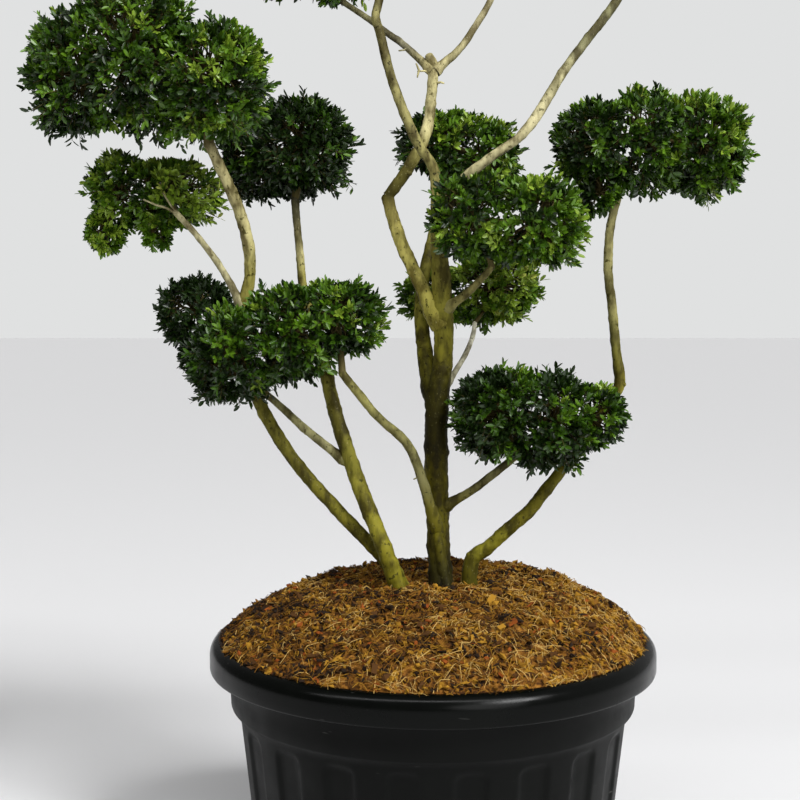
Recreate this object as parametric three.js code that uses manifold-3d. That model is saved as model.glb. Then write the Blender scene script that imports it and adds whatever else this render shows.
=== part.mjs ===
// Potted, cloud-pruned Japanese holly: a large black nursery pot, a mound of coir and bark mulch,
// four stems with their boughs, and the clipped pads of foliage that they carry.
// Millimetres, +Z up. The origin is the centre of the pot's flat underside, and -Y faces the viewer.
import * as THREE from 'three';
import { mergeVertices } from 'three/addons/utils/BufferGeometryUtils.js';
import Module from 'manifold-3d';

const wasm = await Module();
wasm.setup();

// Driving dimensions of the pot
const POT_HEIGHT = 445;
const LIP_RADIUS = 355;
const LIP_SKIRT_BOTTOM = 400;
const BAND_RADIUS = 322;
const STEP_HEIGHT = 340;
const BODY_TOP_RADIUS = 311;
const FOOT_RADIUS = 271;
const FLOOR_THICKNESS = 8;
const POT_SEGMENTS = 40;
const FLUTES = 20;
const FLUTE_SHARE = 0.2;
const FLUTE_DEPTH = 3.5;
const FLUTE_BOTTOM = 30;
const FLUTE_TOP = 326;
const INNER_FOOT_RADIUS = 262;
const INNER_TOP_RADIUS = 314;
const INNER_TOP_HEIGHT = 424;
const LIP_INNER_RADIUS = 344;

// Driving dimensions of the filling
const MEDIUM_TOP = 400;
const MULCH_SEGMENTS = 20;
const MULCH_EDGE_RADIUS = 340;
const MULCH_EDGE_HEIGHT = 443;
const MULCH_RISE = 97;
const MULCH_SLOPE = 0.05;
const MULCH_LEAN = 0.03;
const MULCH_FALL = 0.08;
const MULCH_FULLNESS = 4.8;
const MULCH_RINGS = [314, 258, 172, 80];
const MULCH_BUMP = 3;
const MULCH_SEED = 11;

// Clearances between neighbouring solids
const GAP = 0.3;
const LIMB_GAP = 0.35;
const MERGE_DISTANCE = 1e-4;

// Limbs: each point is [x, y, z, radius]
const FOOT_HEIGHT = 522;
const LIMB_SIDES = 6;
const RING_SPACING = 52;
const FLARE_HEIGHT = 22;
// Rings of a domed end, as shares of its radius: distance beyond the end and width
const DOME_RINGS = [[0.5, 0.85], [0.85, 0.5]];

const LIMBS = {
  trunk: {
    flare: 5,
    points: [
      [13, -30, FOOT_HEIGHT, 17.5], [10, -25, 577, 18], [5.5, -18, 700, 18], [7, -10, 819, 18.5],
      [16, -10, 890, 15.5], [15, -15, 970, 15.5], [10, -30, 1038, 13.5], [6, -50, 1110, 11],
      [-1, -55, 1179, 8], [-27, -60, 1221, 7.5], [-64, -55, 1313, 7], [-83, -45, 1387, 7],
      [-89, -40, 1410, 6.8], [-83, -35, 1440, 6.5], [-64, -20, 1530, 6], [-56, -12, 1612, 5.5],
    ],
  },
  stem_left_front: {
    flare: 4,
    points: [
      [-52, -30, FOOT_HEIGHT, 14], [-79, -30, 594, 13], [-120, -12, 696, 12], [-153, 8, 793, 11.5],
      [-172, 30, 866, 11], [-193, 60, 939, 9.5], [-211, 80, 1002, 7], [-216, 90, 1053, 6.4],
      [-222, 105, 1104, 6.6], [-226, 120, 1146, 7],
    ],
  },
  stem_left_rear: {
    flare: 2,
    points: [
      [-52, 8, FOOT_HEIGHT, 11], [-79, 6, 566, 10.5], [-142, 10, 632, 10.5], [-225, 20, 726, 10.5],
      [-284, 30, 828, 10], [-307, 34, 907, 10], [-302, 30, 973, 10], [-291, 20, 1017, 9.2],
      [-292, 10, 1066, 9.1], [-304, 0, 1117, 9], [-327, -15, 1175, 9], [-347, -30, 1221, 8.5],
    ],
  },
  stem_right: {
    flare: 3,
    points: [
      [57, -30, FOOT_HEIGHT, 11], [63, -32, 572, 12], [85, -36, 590, 10.5], [116, -42, 620, 10],
      [151, -46, 652, 10], [175, -46, 683, 9.5], [199, -40, 712, 9], [248, -15, 775, 8.5],
      [288, 0, 830, 8.5], [296, 0, 846, 9], [291, 5, 899, 7.5], [285, 10, 964, 7.5],
      [278.5, 15, 1030, 7.5], [281.5, 20, 1090, 7], [294, 30, 1144, 6.5],
    ],
  },
  branch_crossing: {
    parent: 'trunk',
    points: [
      [6, -32, 618, 7.5], [-3, -45, 652, 8], [-18, -52, 702, 7.5], [-36, -60, 750, 7.5],
      [-53, -65, 771, 7.5], [-86, -75, 801, 6.5], [-117, -82, 839, 6.5], [-140, -82, 868, 6],
    ],
  },
  branch_right_low: {
    parent: 'trunk',
    points: [[12, -20, 650, 8], [59, -40, 681, 6.5], [91, -50, 707, 6.5], [128, -57, 738, 5.5]],
  },
  branch_left_low: {
    parent: 'stem_left_front',
    points: [
      [-140, -3, 725, 7], [-202, 12, 772, 6.5], [-246, 42, 808, 6], [-291, 66, 843, 5.5],
      [-342, 76, 890, 5],
    ],
  },
  branch_left_upper: {
    parent: 'stem_left_rear',
    points: [
      [-303, 30, 966, 6.5], [-336, 26, 1028, 5.6], [-368, 22, 1073, 5], [-393, 20, 1102, 4.6],
      [-408, 20, 1118, 4.4],
    ],
  },
  bough_fork_rear: {
    parent: 'trunk',
    points: [
      [6, -8, 812, 11.5], [-11, 16, 888, 12], [-18, 40, 970, 11], [-11, 70, 1028, 9.5],
      [7, 100, 1102, 8], [22, 110, 1150, 7],
    ],
  },
  bough_elbow_lower: {
    parent: 'trunk',
    domed: true,
    points: [
      [14, -12, 938, 11], [-8, -12, 978, 11], [-26, -8, 1017, 10.5], [-48, -2, 1064, 10],
      [-66, 5, 1118, 9.5], [-71, 8, 1141, 9.5],
    ],
  },
  bough_elbow_upper: {
    parent: 'bough_elbow_lower',
    domed: true,
    points: [
      [-71, 8, 1142, 9], [-40, 5, 1184, 9.5], [-25, 0, 1211, 9], [-17, 0, 1226, 9],
      [-7, 5, 1259, 8.5], [-3, 10, 1297, 8], [0, 15, 1341, 8.5], [-1, 16, 1350, 8],
    ],
  },
  branch_top_left: {
    parent: 'bough_elbow_upper',
    points: [
      [-2, 14, 1338, 6], [-46, 20, 1379, 5.5], [-74, 25, 1400, 5.2], [-97, 30, 1418, 5],
      [-143, 40, 1450, 4.5],
    ],
  },
  branch_top_middle: {
    parent: 'bough_elbow_upper',
    points: [
      [3, 14, 1338, 6.5], [43, 25, 1375, 5.8], [71, 35, 1417, 5.5], [92, 45, 1454, 5.2],
      [118, 52, 1520, 5],
    ],
  },
  bough_top_right: {
    parent: 'trunk',
    points: [
      [7, -50, 1093, 8.5], [36, -65, 1153, 8.5], [95, -70, 1202, 6.8], [127, -65, 1224, 7],
      [155, -55, 1258, 8], [200, -35, 1331, 7.2], [233.5, -20, 1376, 7.2], [285, 0, 1444, 7],
      [324, 15, 1518, 6.5],
    ],
  },
  branch_centre_front: {
    parent: 'trunk',
    points: [[15, -15, 964, 7], [47, -40, 986, 6.5], [73, -65, 1013, 6], [88, -75, 1030, 5]],
  },
  branch_centre_rear: {
    parent: 'trunk',
    points: [[12, -10, 832, 5], [50, 20, 888, 4.2], [66, 50, 922, 4], [70, 66, 942, 3.5]],
  },
};

// The ridge where the crossing branch runs up the front of the trunk
const TRUNK_RIDGE = { points: [[20, -40, FOOT_HEIGHT, 10], [12, -38, 577, 9.5], [4, -34, 628, 8]] };

// Pads of foliage: each lobe is [x, y, z, half width, half depth, half height]
const PADS = {
  foliage_top_left: {
    bough: 'stem_left_rear',
    lobes: [
      [-337, -45, 1312, 85, 102, 98], [-462, -30, 1354, 104, 118, 131], [-542, -25, 1329, 82, 102, 108],
    ],
  },
  foliage_left: {
    bough: 'branch_left_upper',
    lobes: [
      [-441, 85, 1153, 106, 80, 53], [-446, 68, 1104, 20, 36, 46], [-506, 80, 1158, 50, 62, 66],
      [-533, 74, 1089, 26, 34, 29],
    ],
  },
  foliage_left_rear: {
    bough: 'stem_left_front',
    lobes: [[-217, 142, 1234, 95, 96, 84], [-292, 150, 1218, 62, 78, 76]],
  },
  foliage_low_left_rear: {
    bough: 'branch_left_low',
    lobes: [[-367, 100, 907, 48, 66, 72], [-390, 105, 962, 64, 76, 56]],
  },
  foliage_low_left: {
    bough: 'branch_crossing',
    lobes: [
      [-148, -48, 951, 74, 80, 60], [-222, -50, 926, 82, 88, 76], [-309, -42, 893, 67, 86, 80],
    ],
  },
  foliage_centre_upper: {
    bough: 'bough_fork_rear',
    lobes: [[22, 112, 1234, 86, 84, 51], [85, 112, 1210, 60, 80, 64]],
  },
  foliage_centre: {
    bough: 'branch_centre_front',
    lobes: [[60, -85, 1104, 70, 84, 71], [151, -92, 1099, 77, 90, 72]],
  },
  foliage_centre_lower: {
    bough: 'branch_centre_rear',
    lobes: [[104, 112, 998, 79, 82, 62], [13, 108, 985, 66, 74, 42]],
  },
  foliage_right: {
    bough: 'stem_right',
    lobes: [
      [264, 20, 1150, 28, 40, 38], [266, 30, 1225, 80, 90, 72], [337, 25, 1232, 56, 84, 92],
      [428, 32, 1223, 80, 92, 82],
    ],
  },
  foliage_low_right: {
    bough: 'branch_right_low',
    lobes: [[101, -62, 805, 77, 78, 73], [184, -58, 793, 68, 84, 84], [244, -45, 798, 53, 72, 54]],
  },
  foliage_crown_left: {
    bough: 'branch_top_left',
    lobes: [[-165, 50, 1526, 84, 88, 80], [-226, 58, 1538, 74, 80, 76]],
  },
  foliage_crown_middle: {
    bough: 'trunk',
    lobes: [[-50, -12, 1694, 94, 92, 86], [-12, 6, 1712, 80, 84, 70]],
  },
  foliage_crown_right: {
    bough: 'branch_top_middle',
    lobes: [[138, 60, 1598, 90, 92, 86], [206, 52, 1608, 72, 80, 76]],
  },
  foliage_crown_far_right: {
    bough: 'bough_top_right',
    lobes: [[374, 20, 1590, 94, 96, 88], [446, 26, 1600, 78, 84, 80]],
  },
};

// Rule for what grows in a pad
const LOBE_POWER = 2.8;
const CORE_SHARE = 0.81;
const CORE_DETAIL = 1;
const CORE_BUMP = 0.05;
const TWIGS_PER_LOBE = 6;
const LOBE_SIZE = 98;
const FAN_JITTER = 0.15;
const FORK_SHARES = [0.45];
const FORK_TURN = 0.5;
const TWIG_REACH = 0.88;
const LEAF_REACH = 1.02;
const LEAF_TURNS = [0.22, 0.43];
const TWIG_RADII = [5, 3.5, 1.8];
const LEAVES_PER_TWIG = 2;
const LEAF_SINK = 8;
const LEAF_WIDTH_SHARE = 0.42;
const LEAF_THICKNESS = 2;
const LEAF_SHORTEST = 18;
const LIMB_CLEARANCE = 5;
const SAMPLE_SPACING = 8;
const HIDDEN_SHARE = 0.9;
const FIRST_PAD_SEED = 101;
const GOLDEN_ANGLE = Math.PI * (3 - Math.sqrt(5));

// Stem that goes on from a bough's tip through its pad
const STEM_GAP = LIMB_GAP + 0.05;
const STEM_TAPER = 0.7;
const STEEP = 0.8;
const SHORTEST_EDGE = 0.02;

// Colours and finishes
const FINISHES = {
  pot: { color: 0x17181b, roughness: 0.42, metalness: 0 },
  growing_medium: { color: 0x2d2118, roughness: 0.95, metalness: 0 },
  mulch_mound: { color: 0x9a6a31, roughness: 0.95, metalness: 0 },
  limb: { color: 0x7d7446, roughness: 0.8, metalness: 0 },
  foliage: { color: 0x2c4a1b, roughness: 0.5, metalness: 0 },
};

function vector(x, y, z) {
  return new THREE.Vector3(x, y, z);
}

// Seeded generator, the same run after run
function seededRandom(seed) {
  let state = seed >>> 0;
  return () => {
    state = (Math.imul(state, 1664525) + 1013904223) >>> 0;
    return state / 4294967296;
  };
}

// Places only, with those at the same point joined
function mergedGeometry(geometry) {
  const plain = geometry.clone();
  plain.deleteAttribute('normal');
  plain.deleteAttribute('uv');
  return mergeVertices(plain, MERGE_DISTANCE);
}

function solidFromGeometry(geometry) {
  const merged = mergedGeometry(geometry);
  return new wasm.Manifold(new wasm.Mesh({
    numProp: 3,
    vertProperties: new Float32Array(merged.attributes.position.array),
    triVerts: new Uint32Array(merged.index.array),
  }));
}

function solidFromFaces(points, faces) {
  return new wasm.Manifold(new wasm.Mesh({
    numProp: 3,
    vertProperties: new Float32Array(points.flatMap((p) => [p.x, p.y, p.z])),
    triVerts: new Uint32Array(faces.flat()),
  }));
}

// The largest outer body: loose scraps go, and a sealed hollow is filled
function mainBody(solid) {
  const bodies = solid.decompose();
  return bodies.reduce((best, body) => (body.volume() > best.volume() ? body : best));
}

function geometryFromSolid(solid) {
  const mesh = solid.getMesh();
  const geometry = new THREE.BufferGeometry();
  geometry.setAttribute('position', new THREE.BufferAttribute(new Float32Array(mesh.vertProperties), 3));
  geometry.setIndex(new THREE.BufferAttribute(new Uint32Array(mesh.triVerts), 1));
  geometry.computeVertexNormals();
  return geometry;
}

// Faces of a stack of rings of equal length, closed by a fan at each end
function ringFaces(ringCount, sides) {
  const faces = [];
  for (let ring = 0; ring < ringCount - 1; ring += 1) {
    for (let side = 0; side < sides; side += 1) {
      const a = ring * sides + side;
      const b = ring * sides + ((side + 1) % sides);
      faces.push([a, b, b + sides], [a, b + sides, a + sides]);
    }
  }
  const last = (ringCount - 1) * sides;
  for (let side = 1; side < sides - 1; side += 1) {
    faces.push([0, side + 1, side], [last, last + side, last + side + 1]);
  }
  return faces;
}

// Pot: a lathed shell whose body is fluted, with a turned-down lip
function potProfile() {
  return [
    [0, 0], [FOOT_RADIUS - 6, 0], [FOOT_RADIUS, 8], [FOOT_RADIUS + 3, 24],
    [FOOT_RADIUS + 5, 38], [BODY_TOP_RADIUS - 2, STEP_HEIGHT - 17],
    [BODY_TOP_RADIUS - 1, STEP_HEIGHT - 8], [BODY_TOP_RADIUS, STEP_HEIGHT - 4],
    [BAND_RADIUS - 2, STEP_HEIGHT], [BAND_RADIUS, POT_HEIGHT - 30],
    [BAND_RADIUS + 8, POT_HEIGHT - 18], [LIP_RADIUS - 5, POT_HEIGHT - 18],
    [LIP_RADIUS - 5, LIP_SKIRT_BOTTOM], [LIP_RADIUS, LIP_SKIRT_BOTTOM],
    [LIP_RADIUS, POT_HEIGHT - 14], [LIP_RADIUS - 3, POT_HEIGHT - 4], [LIP_RADIUS - 9, POT_HEIGHT],
    [LIP_INNER_RADIUS, POT_HEIGHT - 3], [INNER_TOP_RADIUS, INNER_TOP_HEIGHT],
    [INNER_FOOT_RADIUS, FLOOR_THICKNESS], [0, FLOOR_THICKNESS],
  ].map(([radius, height]) => new THREE.Vector2(radius, height));
}

function fluteDepth(angle, height) {
  const isFluted = height > FLUTE_BOTTOM && height < FLUTE_TOP;
  const turn = ((angle * FLUTES) / (2 * Math.PI)) % 1;
  return isFluted && Math.abs(turn - 0.5) < FLUTE_SHARE / 2 ? FLUTE_DEPTH : 0;
}

function potGeometry() {
  const profile = potProfile();
  const rings = profile.filter((point) => point.x > 0);
  const points = rings.flatMap((ring) => Array.from({ length: POT_SEGMENTS }, (_, i) => {
    const angle = (2 * Math.PI * i) / POT_SEGMENTS;
    const radius = ring.x - fluteDepth(angle, ring.y);
    return vector(radius * Math.cos(angle), radius * Math.sin(angle), ring.y);
  }));
  return geometryFromSolid(solidFromFaces(points, ringFaces(rings.length, POT_SEGMENTS)));
}

function innerRadius(height) {
  const share = (height - FLOOR_THICKNESS) / (INNER_TOP_HEIGHT - FLOOR_THICKNESS);
  return INNER_FOOT_RADIUS + (INNER_TOP_RADIUS - INNER_FOOT_RADIUS) * share;
}

// Growing medium: fills the pot up to the mulch
function mediumGeometry() {
  const low = FLOOR_THICKNESS + GAP;
  const profile = [
    new THREE.Vector2(0, low),
    new THREE.Vector2(innerRadius(low) - GAP, low),
    new THREE.Vector2(innerRadius(MEDIUM_TOP) - GAP, MEDIUM_TOP),
    new THREE.Vector2(0, MEDIUM_TOP),
  ];
  const lathe = new THREE.LatheGeometry(profile, POT_SEGMENTS);
  lathe.rotateX(Math.PI / 2);
  lathe.rotateZ(Math.PI / 2);
  return geometryFromSolid(solidFromGeometry(lathe));
}

function mulchHeight(x, y) {
  const reach = Math.hypot(x, y);
  const rise = MULCH_RISE + MULCH_SLOPE * y + MULCH_LEAN * x - MULCH_FALL * reach;
  return MULCH_EDGE_HEIGHT + (1 - (reach / MULCH_EDGE_RADIUS) ** MULCH_FULLNESS) * rise;
}

// Mulch: a bumpy mound on the medium, with a pocket for each stem's foot
function mulchGeometry(stemSolids) {
  const random = seededRandom(MULCH_SEED);
  const low = MEDIUM_TOP + GAP;
  const ring = (radius, heightAt) => Array.from({ length: MULCH_SEGMENTS }, (_, i) => {
    const angle = (2 * Math.PI * i) / MULCH_SEGMENTS;
    const x = radius * Math.cos(angle);
    const y = radius * Math.sin(angle);
    return vector(x, y, heightAt(x, y));
  });
  const bumpyHeight = (x, y) => mulchHeight(x, y) + MULCH_BUMP * (2 * random() - 1);
  const points = [
    ...ring(innerRadius(low) - 2 * GAP, () => low),
    ...ring(INNER_TOP_RADIUS - 2 * GAP, () => INNER_TOP_HEIGHT),
    ...ring(MULCH_EDGE_RADIUS, () => MULCH_EDGE_HEIGHT),
    ...MULCH_RINGS.flatMap((radius) => ring(radius, bumpyHeight)),
  ];
  let mound = solidFromFaces(points, ringFaces(MULCH_RINGS.length + 3, MULCH_SEGMENTS));
  stemSolids.forEach((stem) => {
    mound = mound.subtract(stem);
  });
  return geometryFromSolid(mainBody(mound));
}

// Limb: a tapering tube through its points. Extra thickens and lengthens it on all sides.
function limbRadius(limb, share) {
  const steps = limb.points.length - 1;
  const index = Math.min(Math.floor(share * steps), steps - 1);
  const part = share * steps - index;
  return THREE.MathUtils.lerp(limb.points[index][3], limb.points[index + 1][3], part);
}

function limbCurve(limb) {
  return new THREE.CatmullRomCurve3(limb.points.map(([x, y, z]) => vector(x, y, z)), false, 'centripetal');
}

function limbSolid(limb, extra = 0) {
  const curve = limbCurve(limb);
  const steps = Math.max(3, Math.round(curve.getLength() / RING_SPACING));
  const spine = [];
  let normal = vector(0, 1, 0);
  const addRing = (centre, tangent, radius) => {
    normal = normal.clone().addScaledVector(tangent, -normal.dot(tangent)).normalize();
    spine.push({ centre, tangent, radius: radius + extra, normal, side: tangent.clone().cross(normal) });
  };
  for (let step = 0; step <= steps; step += 1) {
    const share = step / steps;
    const centre = curve.getPoint(share);
    const tangent = curve.getTangent(share);
    const flare = (limb.flare ?? 0) * Math.exp(-(centre.z - FOOT_HEIGHT) / FLARE_HEIGHT);
    addRing(centre, tangent, limbRadius(limb, share) + flare);
  }
  const end = spine[spine.length - 1];
  const domeRings = limb.domed ? DOME_RINGS : [];
  domeRings.forEach(([rise, width]) => {
    const radius = limb.points.at(-1)[3];
    addRing(end.centre.clone().addScaledVector(end.tangent, rise * radius), end.tangent, width * radius);
  });
  const first = spine[0];
  const last = spine[spine.length - 1];
  first.centre = first.centre.clone().addScaledVector(first.tangent, -extra);
  last.centre = last.centre.clone().addScaledVector(last.tangent, extra);
  const standsOnGround = !limb.parent;
  const points = spine.flatMap((ring, index) => Array.from({ length: LIMB_SIDES }, (_, i) => {
    const angle = (2 * Math.PI * i) / LIMB_SIDES;
    const point = ring.centre.clone()
      .addScaledVector(ring.normal, ring.radius * Math.cos(angle))
      .addScaledVector(ring.side, ring.radius * Math.sin(angle));
    if (index === 0 && standsOnGround) point.z = FOOT_HEIGHT - extra;
    return point;
  }));
  return solidFromFaces(points, ringFaces(spine.length, LIMB_SIDES));
}

// Points along a limb with its radius there, for keeping twigs and leaves clear of it
function limbSamples(limb) {
  const curve = limbCurve(limb);
  const steps = Math.ceil(curve.getLength() / SAMPLE_SPACING);
  return Array.from({ length: steps + 1 }, (_, i) => ({
    point: curve.getPoint(i / steps),
    radius: limbRadius(limb, i / steps) + (limb.flare ?? 0),
  }));
}

// Lobes: rounded boxes that mark out the space of a pad
function lobeOf([x, y, z, halfWidth, halfDepth, halfHeight]) {
  return { centre: vector(x, y, z), half: vector(halfWidth, halfDepth, halfHeight) };
}

function lobeRadius(lobe, direction) {
  const share = (k) => Math.abs(direction[k] / lobe.half[k]) ** LOBE_POWER;
  return (share('x') + share('y') + share('z')) ** (-1 / LOBE_POWER);
}

function lobeShare(lobe, point) {
  const offset = point.clone().sub(lobe.centre);
  const distance = offset.length();
  return distance === 0 ? 0 : distance / lobeRadius(lobe, offset.divideScalar(distance));
}

function onLobe(lobe, direction, share) {
  return lobe.centre.clone().addScaledVector(direction, lobeRadius(lobe, direction) * share);
}

function coreSolid(lobe, random) {
  const ball = mergedGeometry(new THREE.IcosahedronGeometry(1, CORE_DETAIL));
  const position = ball.attributes.position;
  for (let i = 0; i < position.count; i += 1) {
    const direction = new THREE.Vector3().fromBufferAttribute(position, i).normalize();
    const point = onLobe(lobe, direction, CORE_SHARE * (1 + CORE_BUMP * (2 * random() - 1)));
    position.setXYZ(i, point.x, point.y, point.z);
  }
  return solidFromGeometry(ball);
}

// Three-sided twig that tapers from one point to another
function twigSolid(from, to, rootRadius, tipRadius) {
  const along = to.clone().sub(from).normalize();
  const helper = Math.abs(along.z) < STEEP ? vector(0, 0, 1) : vector(1, 0, 0);
  const across = along.clone().cross(helper).normalize();
  const other = along.clone().cross(across);
  const ring = (centre, radius) => [0, 1, 2].map((i) => {
    const angle = (2 * Math.PI * i) / 3;
    return centre.clone()
      .addScaledVector(across, radius * Math.cos(angle))
      .addScaledVector(other, radius * Math.sin(angle));
  });
  return solidFromFaces([...ring(from, rootRadius), ...ring(to, tipRadius)], ringFaces(2, 3));
}

// Leaf of eight faces: root, tip, two edges and the middle of its two sides
function leafSolid(root, tip, random) {
  const along = tip.clone().sub(root);
  const length = along.length();
  along.normalize();
  const up = vector(random() - 0.5, random() - 0.5, 1).normalize();
  const across = along.clone().cross(up).normalize();
  const face = across.clone().cross(along).normalize();
  const middle = root.clone().addScaledVector(along, 0.5 * length);
  const halfWidth = 0.5 * LEAF_WIDTH_SHARE * length;
  const points = [
    root, tip,
    middle.clone().addScaledVector(across, halfWidth),
    middle.clone().addScaledVector(across, -halfWidth),
    middle.clone().addScaledVector(face, LEAF_THICKNESS / 2),
    middle.clone().addScaledVector(face, -LEAF_THICKNESS / 2),
  ];
  const faces = [[0, 2, 4], [2, 1, 4], [1, 3, 4], [3, 0, 4], [2, 0, 5], [1, 2, 5], [3, 1, 5], [0, 3, 5]];
  const solid = solidFromFaces(points, faces);
  return solid.volume() > 0 ? solid : solidFromFaces(points, faces.map(([a, b, c]) => [a, c, b]));
}

function turned(direction, angle, random) {
  const helper = vector(random() - 0.5, random() - 0.5, random() - 0.5);
  const sideways = helper.addScaledVector(direction, -helper.dot(direction)).normalize();
  return direction.clone().addScaledVector(sideways, Math.tan(angle)).normalize();
}

// Directions spread evenly over a ball, each nudged a little
function fanDirections(count, random) {
  const start = 2 * Math.PI * random();
  return Array.from({ length: count }, (_, i) => {
    const height = 1 - (2 * (i + 0.5)) / count;
    const angle = start + i * GOLDEN_ANGLE;
    const width = Math.sqrt(1 - height * height);
    const even = vector(width * Math.cos(angle), width * Math.sin(angle), height);
    return turned(even, FAN_JITTER * random(), random);
  });
}

// Pad: one stem goes on from the bough's tip to the middle of each lobe. Twigs fan out from there,
// fork on their way to the pad's skin and end in leaves. A clipped core is fused in.
function padSolid(pad, seed, space, limbs) {
  const random = seededRandom(seed);
  const lobes = pad.lobes.map(lobeOf);
  const solids = lobes.map((lobe) => coreSolid(lobe, random));
  const curve = limbCurve(LIMBS[pad.bough]);
  const start = curve.getPoint(1).addScaledVector(curve.getTangent(1), STEM_GAP);
  const tipRadius = LIMBS[pad.bough].points.at(-1)[3];
  lobes.forEach((lobe, index) => {
    const from = index === 0 ? start : lobes[index - 1].centre;
    solids.push(twigSolid(from, lobe.centre, tipRadius, tipRadius * STEM_TAPER));
    growLobe(lobe, lobes, random, space, solids);
  });
  let solid = wasm.Manifold.union(solids);
  limbs.forEach((limb) => {
    solid = solid.subtract(limb);
  });
  return mainBody(solid.simplify(SHORTEST_EDGE));
}

function growLobe(lobe, ownLobes, random, space, solids) {
  const others = ownLobes.filter((other) => other !== lobe);
  const isBuried = (point) => others.some((other) => lobeShare(other, point) < HIDDEN_SHARE);
  const addLeaves = (end, direction) => {
    for (let leaf = 0; leaf < LEAVES_PER_TWIG; leaf += 1) {
      const aside = turned(direction, THREE.MathUtils.lerp(...LEAF_TURNS, random()), random);
      const tip = onLobe(lobe, aside, LEAF_REACH);
      const root = end.clone().addScaledVector(direction, -LEAF_SINK);
      const isFree = space.isFree(tip) && space.isFree(root.clone().lerp(tip, 0.5));
      if (isFree && tip.distanceTo(end) > LEAF_SHORTEST) solids.push(leafSolid(root, tip, random));
    }
  };
  // Grows a twig and what it carries. A twig that carries no leaves is left out.
  const grow = (from, direction, level) => {
    const isEnd = level === FORK_SHARES.length;
    const to = onLobe(lobe, direction, isEnd ? TWIG_REACH : FORK_SHARES[level]);
    if (!space.isFree(to) || (isEnd && isBuried(to))) return false;
    if (isEnd) {
      addLeaves(to, direction);
    } else {
      const aside = turned(direction, FORK_TURN, random);
      const opposite = direction.clone().multiplyScalar(2 * direction.dot(aside)).sub(aside);
      const grown = [aside, opposite].filter((next) => grow(to, next, level + 1));
      if (grown.length === 0) return false;
    }
    solids.push(twigSolid(from, to, TWIG_RADII[level], TWIG_RADII[level + 1]));
    return true;
  };
  const size = Math.cbrt(lobe.half.x * lobe.half.y * lobe.half.z);
  const count = Math.round(TWIGS_PER_LOBE * (size / LOBE_SIZE) ** 2);
  fanDirections(count, random).forEach((direction) => grow(lobe.centre, direction, 0));
}

const stemNames = Object.keys(LIMBS).filter((name) => !LIMBS[name].parent);
const grownLimbs = {};
Object.entries(LIMBS).forEach(([name, limb]) => {
  grownLimbs[name] = limbSolid(limb, LIMB_GAP);
});
grownLimbs.trunk = grownLimbs.trunk.add(limbSolid(TRUNK_RIDGE, LIMB_GAP));

const object = new THREE.Group();

function addPart(name, geometry, finish) {
  const mesh = new THREE.Mesh(geometry, new THREE.MeshStandardMaterial(FINISHES[finish]));
  mesh.name = name;
  object.add(mesh);
}

addPart('pot', potGeometry(), 'pot');
addPart('growing_medium', mediumGeometry(), 'growing_medium');
addPart('mulch_mound', mulchGeometry(stemNames.map((name) => grownLimbs[name])), 'mulch_mound');

Object.entries(LIMBS).forEach(([name, limb]) => {
  let solid = limbSolid(limb);
  if (name === 'trunk') solid = solid.add(limbSolid(TRUNK_RIDGE));
  if (limb.parent) solid = mainBody(solid.subtract(grownLimbs[limb.parent]));
  addPart(name, geometryFromSolid(solid), 'limb');
});

const samples = Object.values(LIMBS).flatMap(limbSamples);

// A pad's space: clear of every limb and outside every other pad
function spaceOf(name) {
  const otherPads = Object.keys(PADS).filter((other) => other !== name);
  const others = otherPads.flatMap((other) => PADS[other].lobes.map(lobeOf));
  return {
    isFree: (point) => !samples.some((s) => s.point.distanceTo(point) < s.radius + LIMB_CLEARANCE)
      && !others.some((lobe) => lobeShare(lobe, point) < 1),
  };
}

Object.entries(PADS).forEach(([name, pad], index) => {
  const solid = padSolid(pad, FIRST_PAD_SEED + index, spaceOf(name), Object.values(grownLimbs));
  addPart(name, geometryFromSolid(solid), 'foliage');
});

export default object;
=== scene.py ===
# Potted, cloud-pruned Japanese holly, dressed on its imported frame.
# Places repeat the source's millimetre values and are scaled by MM to metres, in the frame's own
# coordinates. Each pad of foliage grows by the source's rule, carried on to finer twigs and leaves.
import math

import bpy
import numpy as np
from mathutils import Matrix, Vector, noise

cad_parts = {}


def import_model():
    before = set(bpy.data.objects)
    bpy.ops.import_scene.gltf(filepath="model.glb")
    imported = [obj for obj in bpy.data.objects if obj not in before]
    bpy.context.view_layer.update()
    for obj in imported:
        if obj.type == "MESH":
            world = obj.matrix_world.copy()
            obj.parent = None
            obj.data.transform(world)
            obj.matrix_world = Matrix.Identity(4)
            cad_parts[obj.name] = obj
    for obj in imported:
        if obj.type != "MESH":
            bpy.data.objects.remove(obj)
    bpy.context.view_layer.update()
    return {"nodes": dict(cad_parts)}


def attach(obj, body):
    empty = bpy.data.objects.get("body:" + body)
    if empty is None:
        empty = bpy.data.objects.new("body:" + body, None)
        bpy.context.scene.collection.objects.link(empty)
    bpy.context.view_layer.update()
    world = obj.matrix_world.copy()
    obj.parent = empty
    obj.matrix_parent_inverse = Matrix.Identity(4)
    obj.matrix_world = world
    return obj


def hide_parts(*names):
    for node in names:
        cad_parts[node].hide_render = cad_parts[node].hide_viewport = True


MM = 0.001
GOLDEN_ANGLE = math.pi * (3 - math.sqrt(5))

# Pot, as in the source
POT_HEIGHT = 445
LIP_RADIUS = 355
LIP_SKIRT_BOTTOM = 400
BAND_RADIUS = 322
STEP_HEIGHT = 340
BODY_TOP_RADIUS = 311
FOOT_RADIUS = 271
PANELS = 20
PANEL_DEPTH = 4.5
PANEL_BOTTOM = 30
PANEL_TOP = 326
PANEL_HALF_ANGLE = math.radians(5.3)
PANEL_CORNER = 0.62
PANEL_EDGE = 11.0
INNER_TOP_RADIUS = 314
INNER_TOP_HEIGHT = 424
LIP_ROLL = 22
LIP_SQUASH = 0.86

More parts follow.
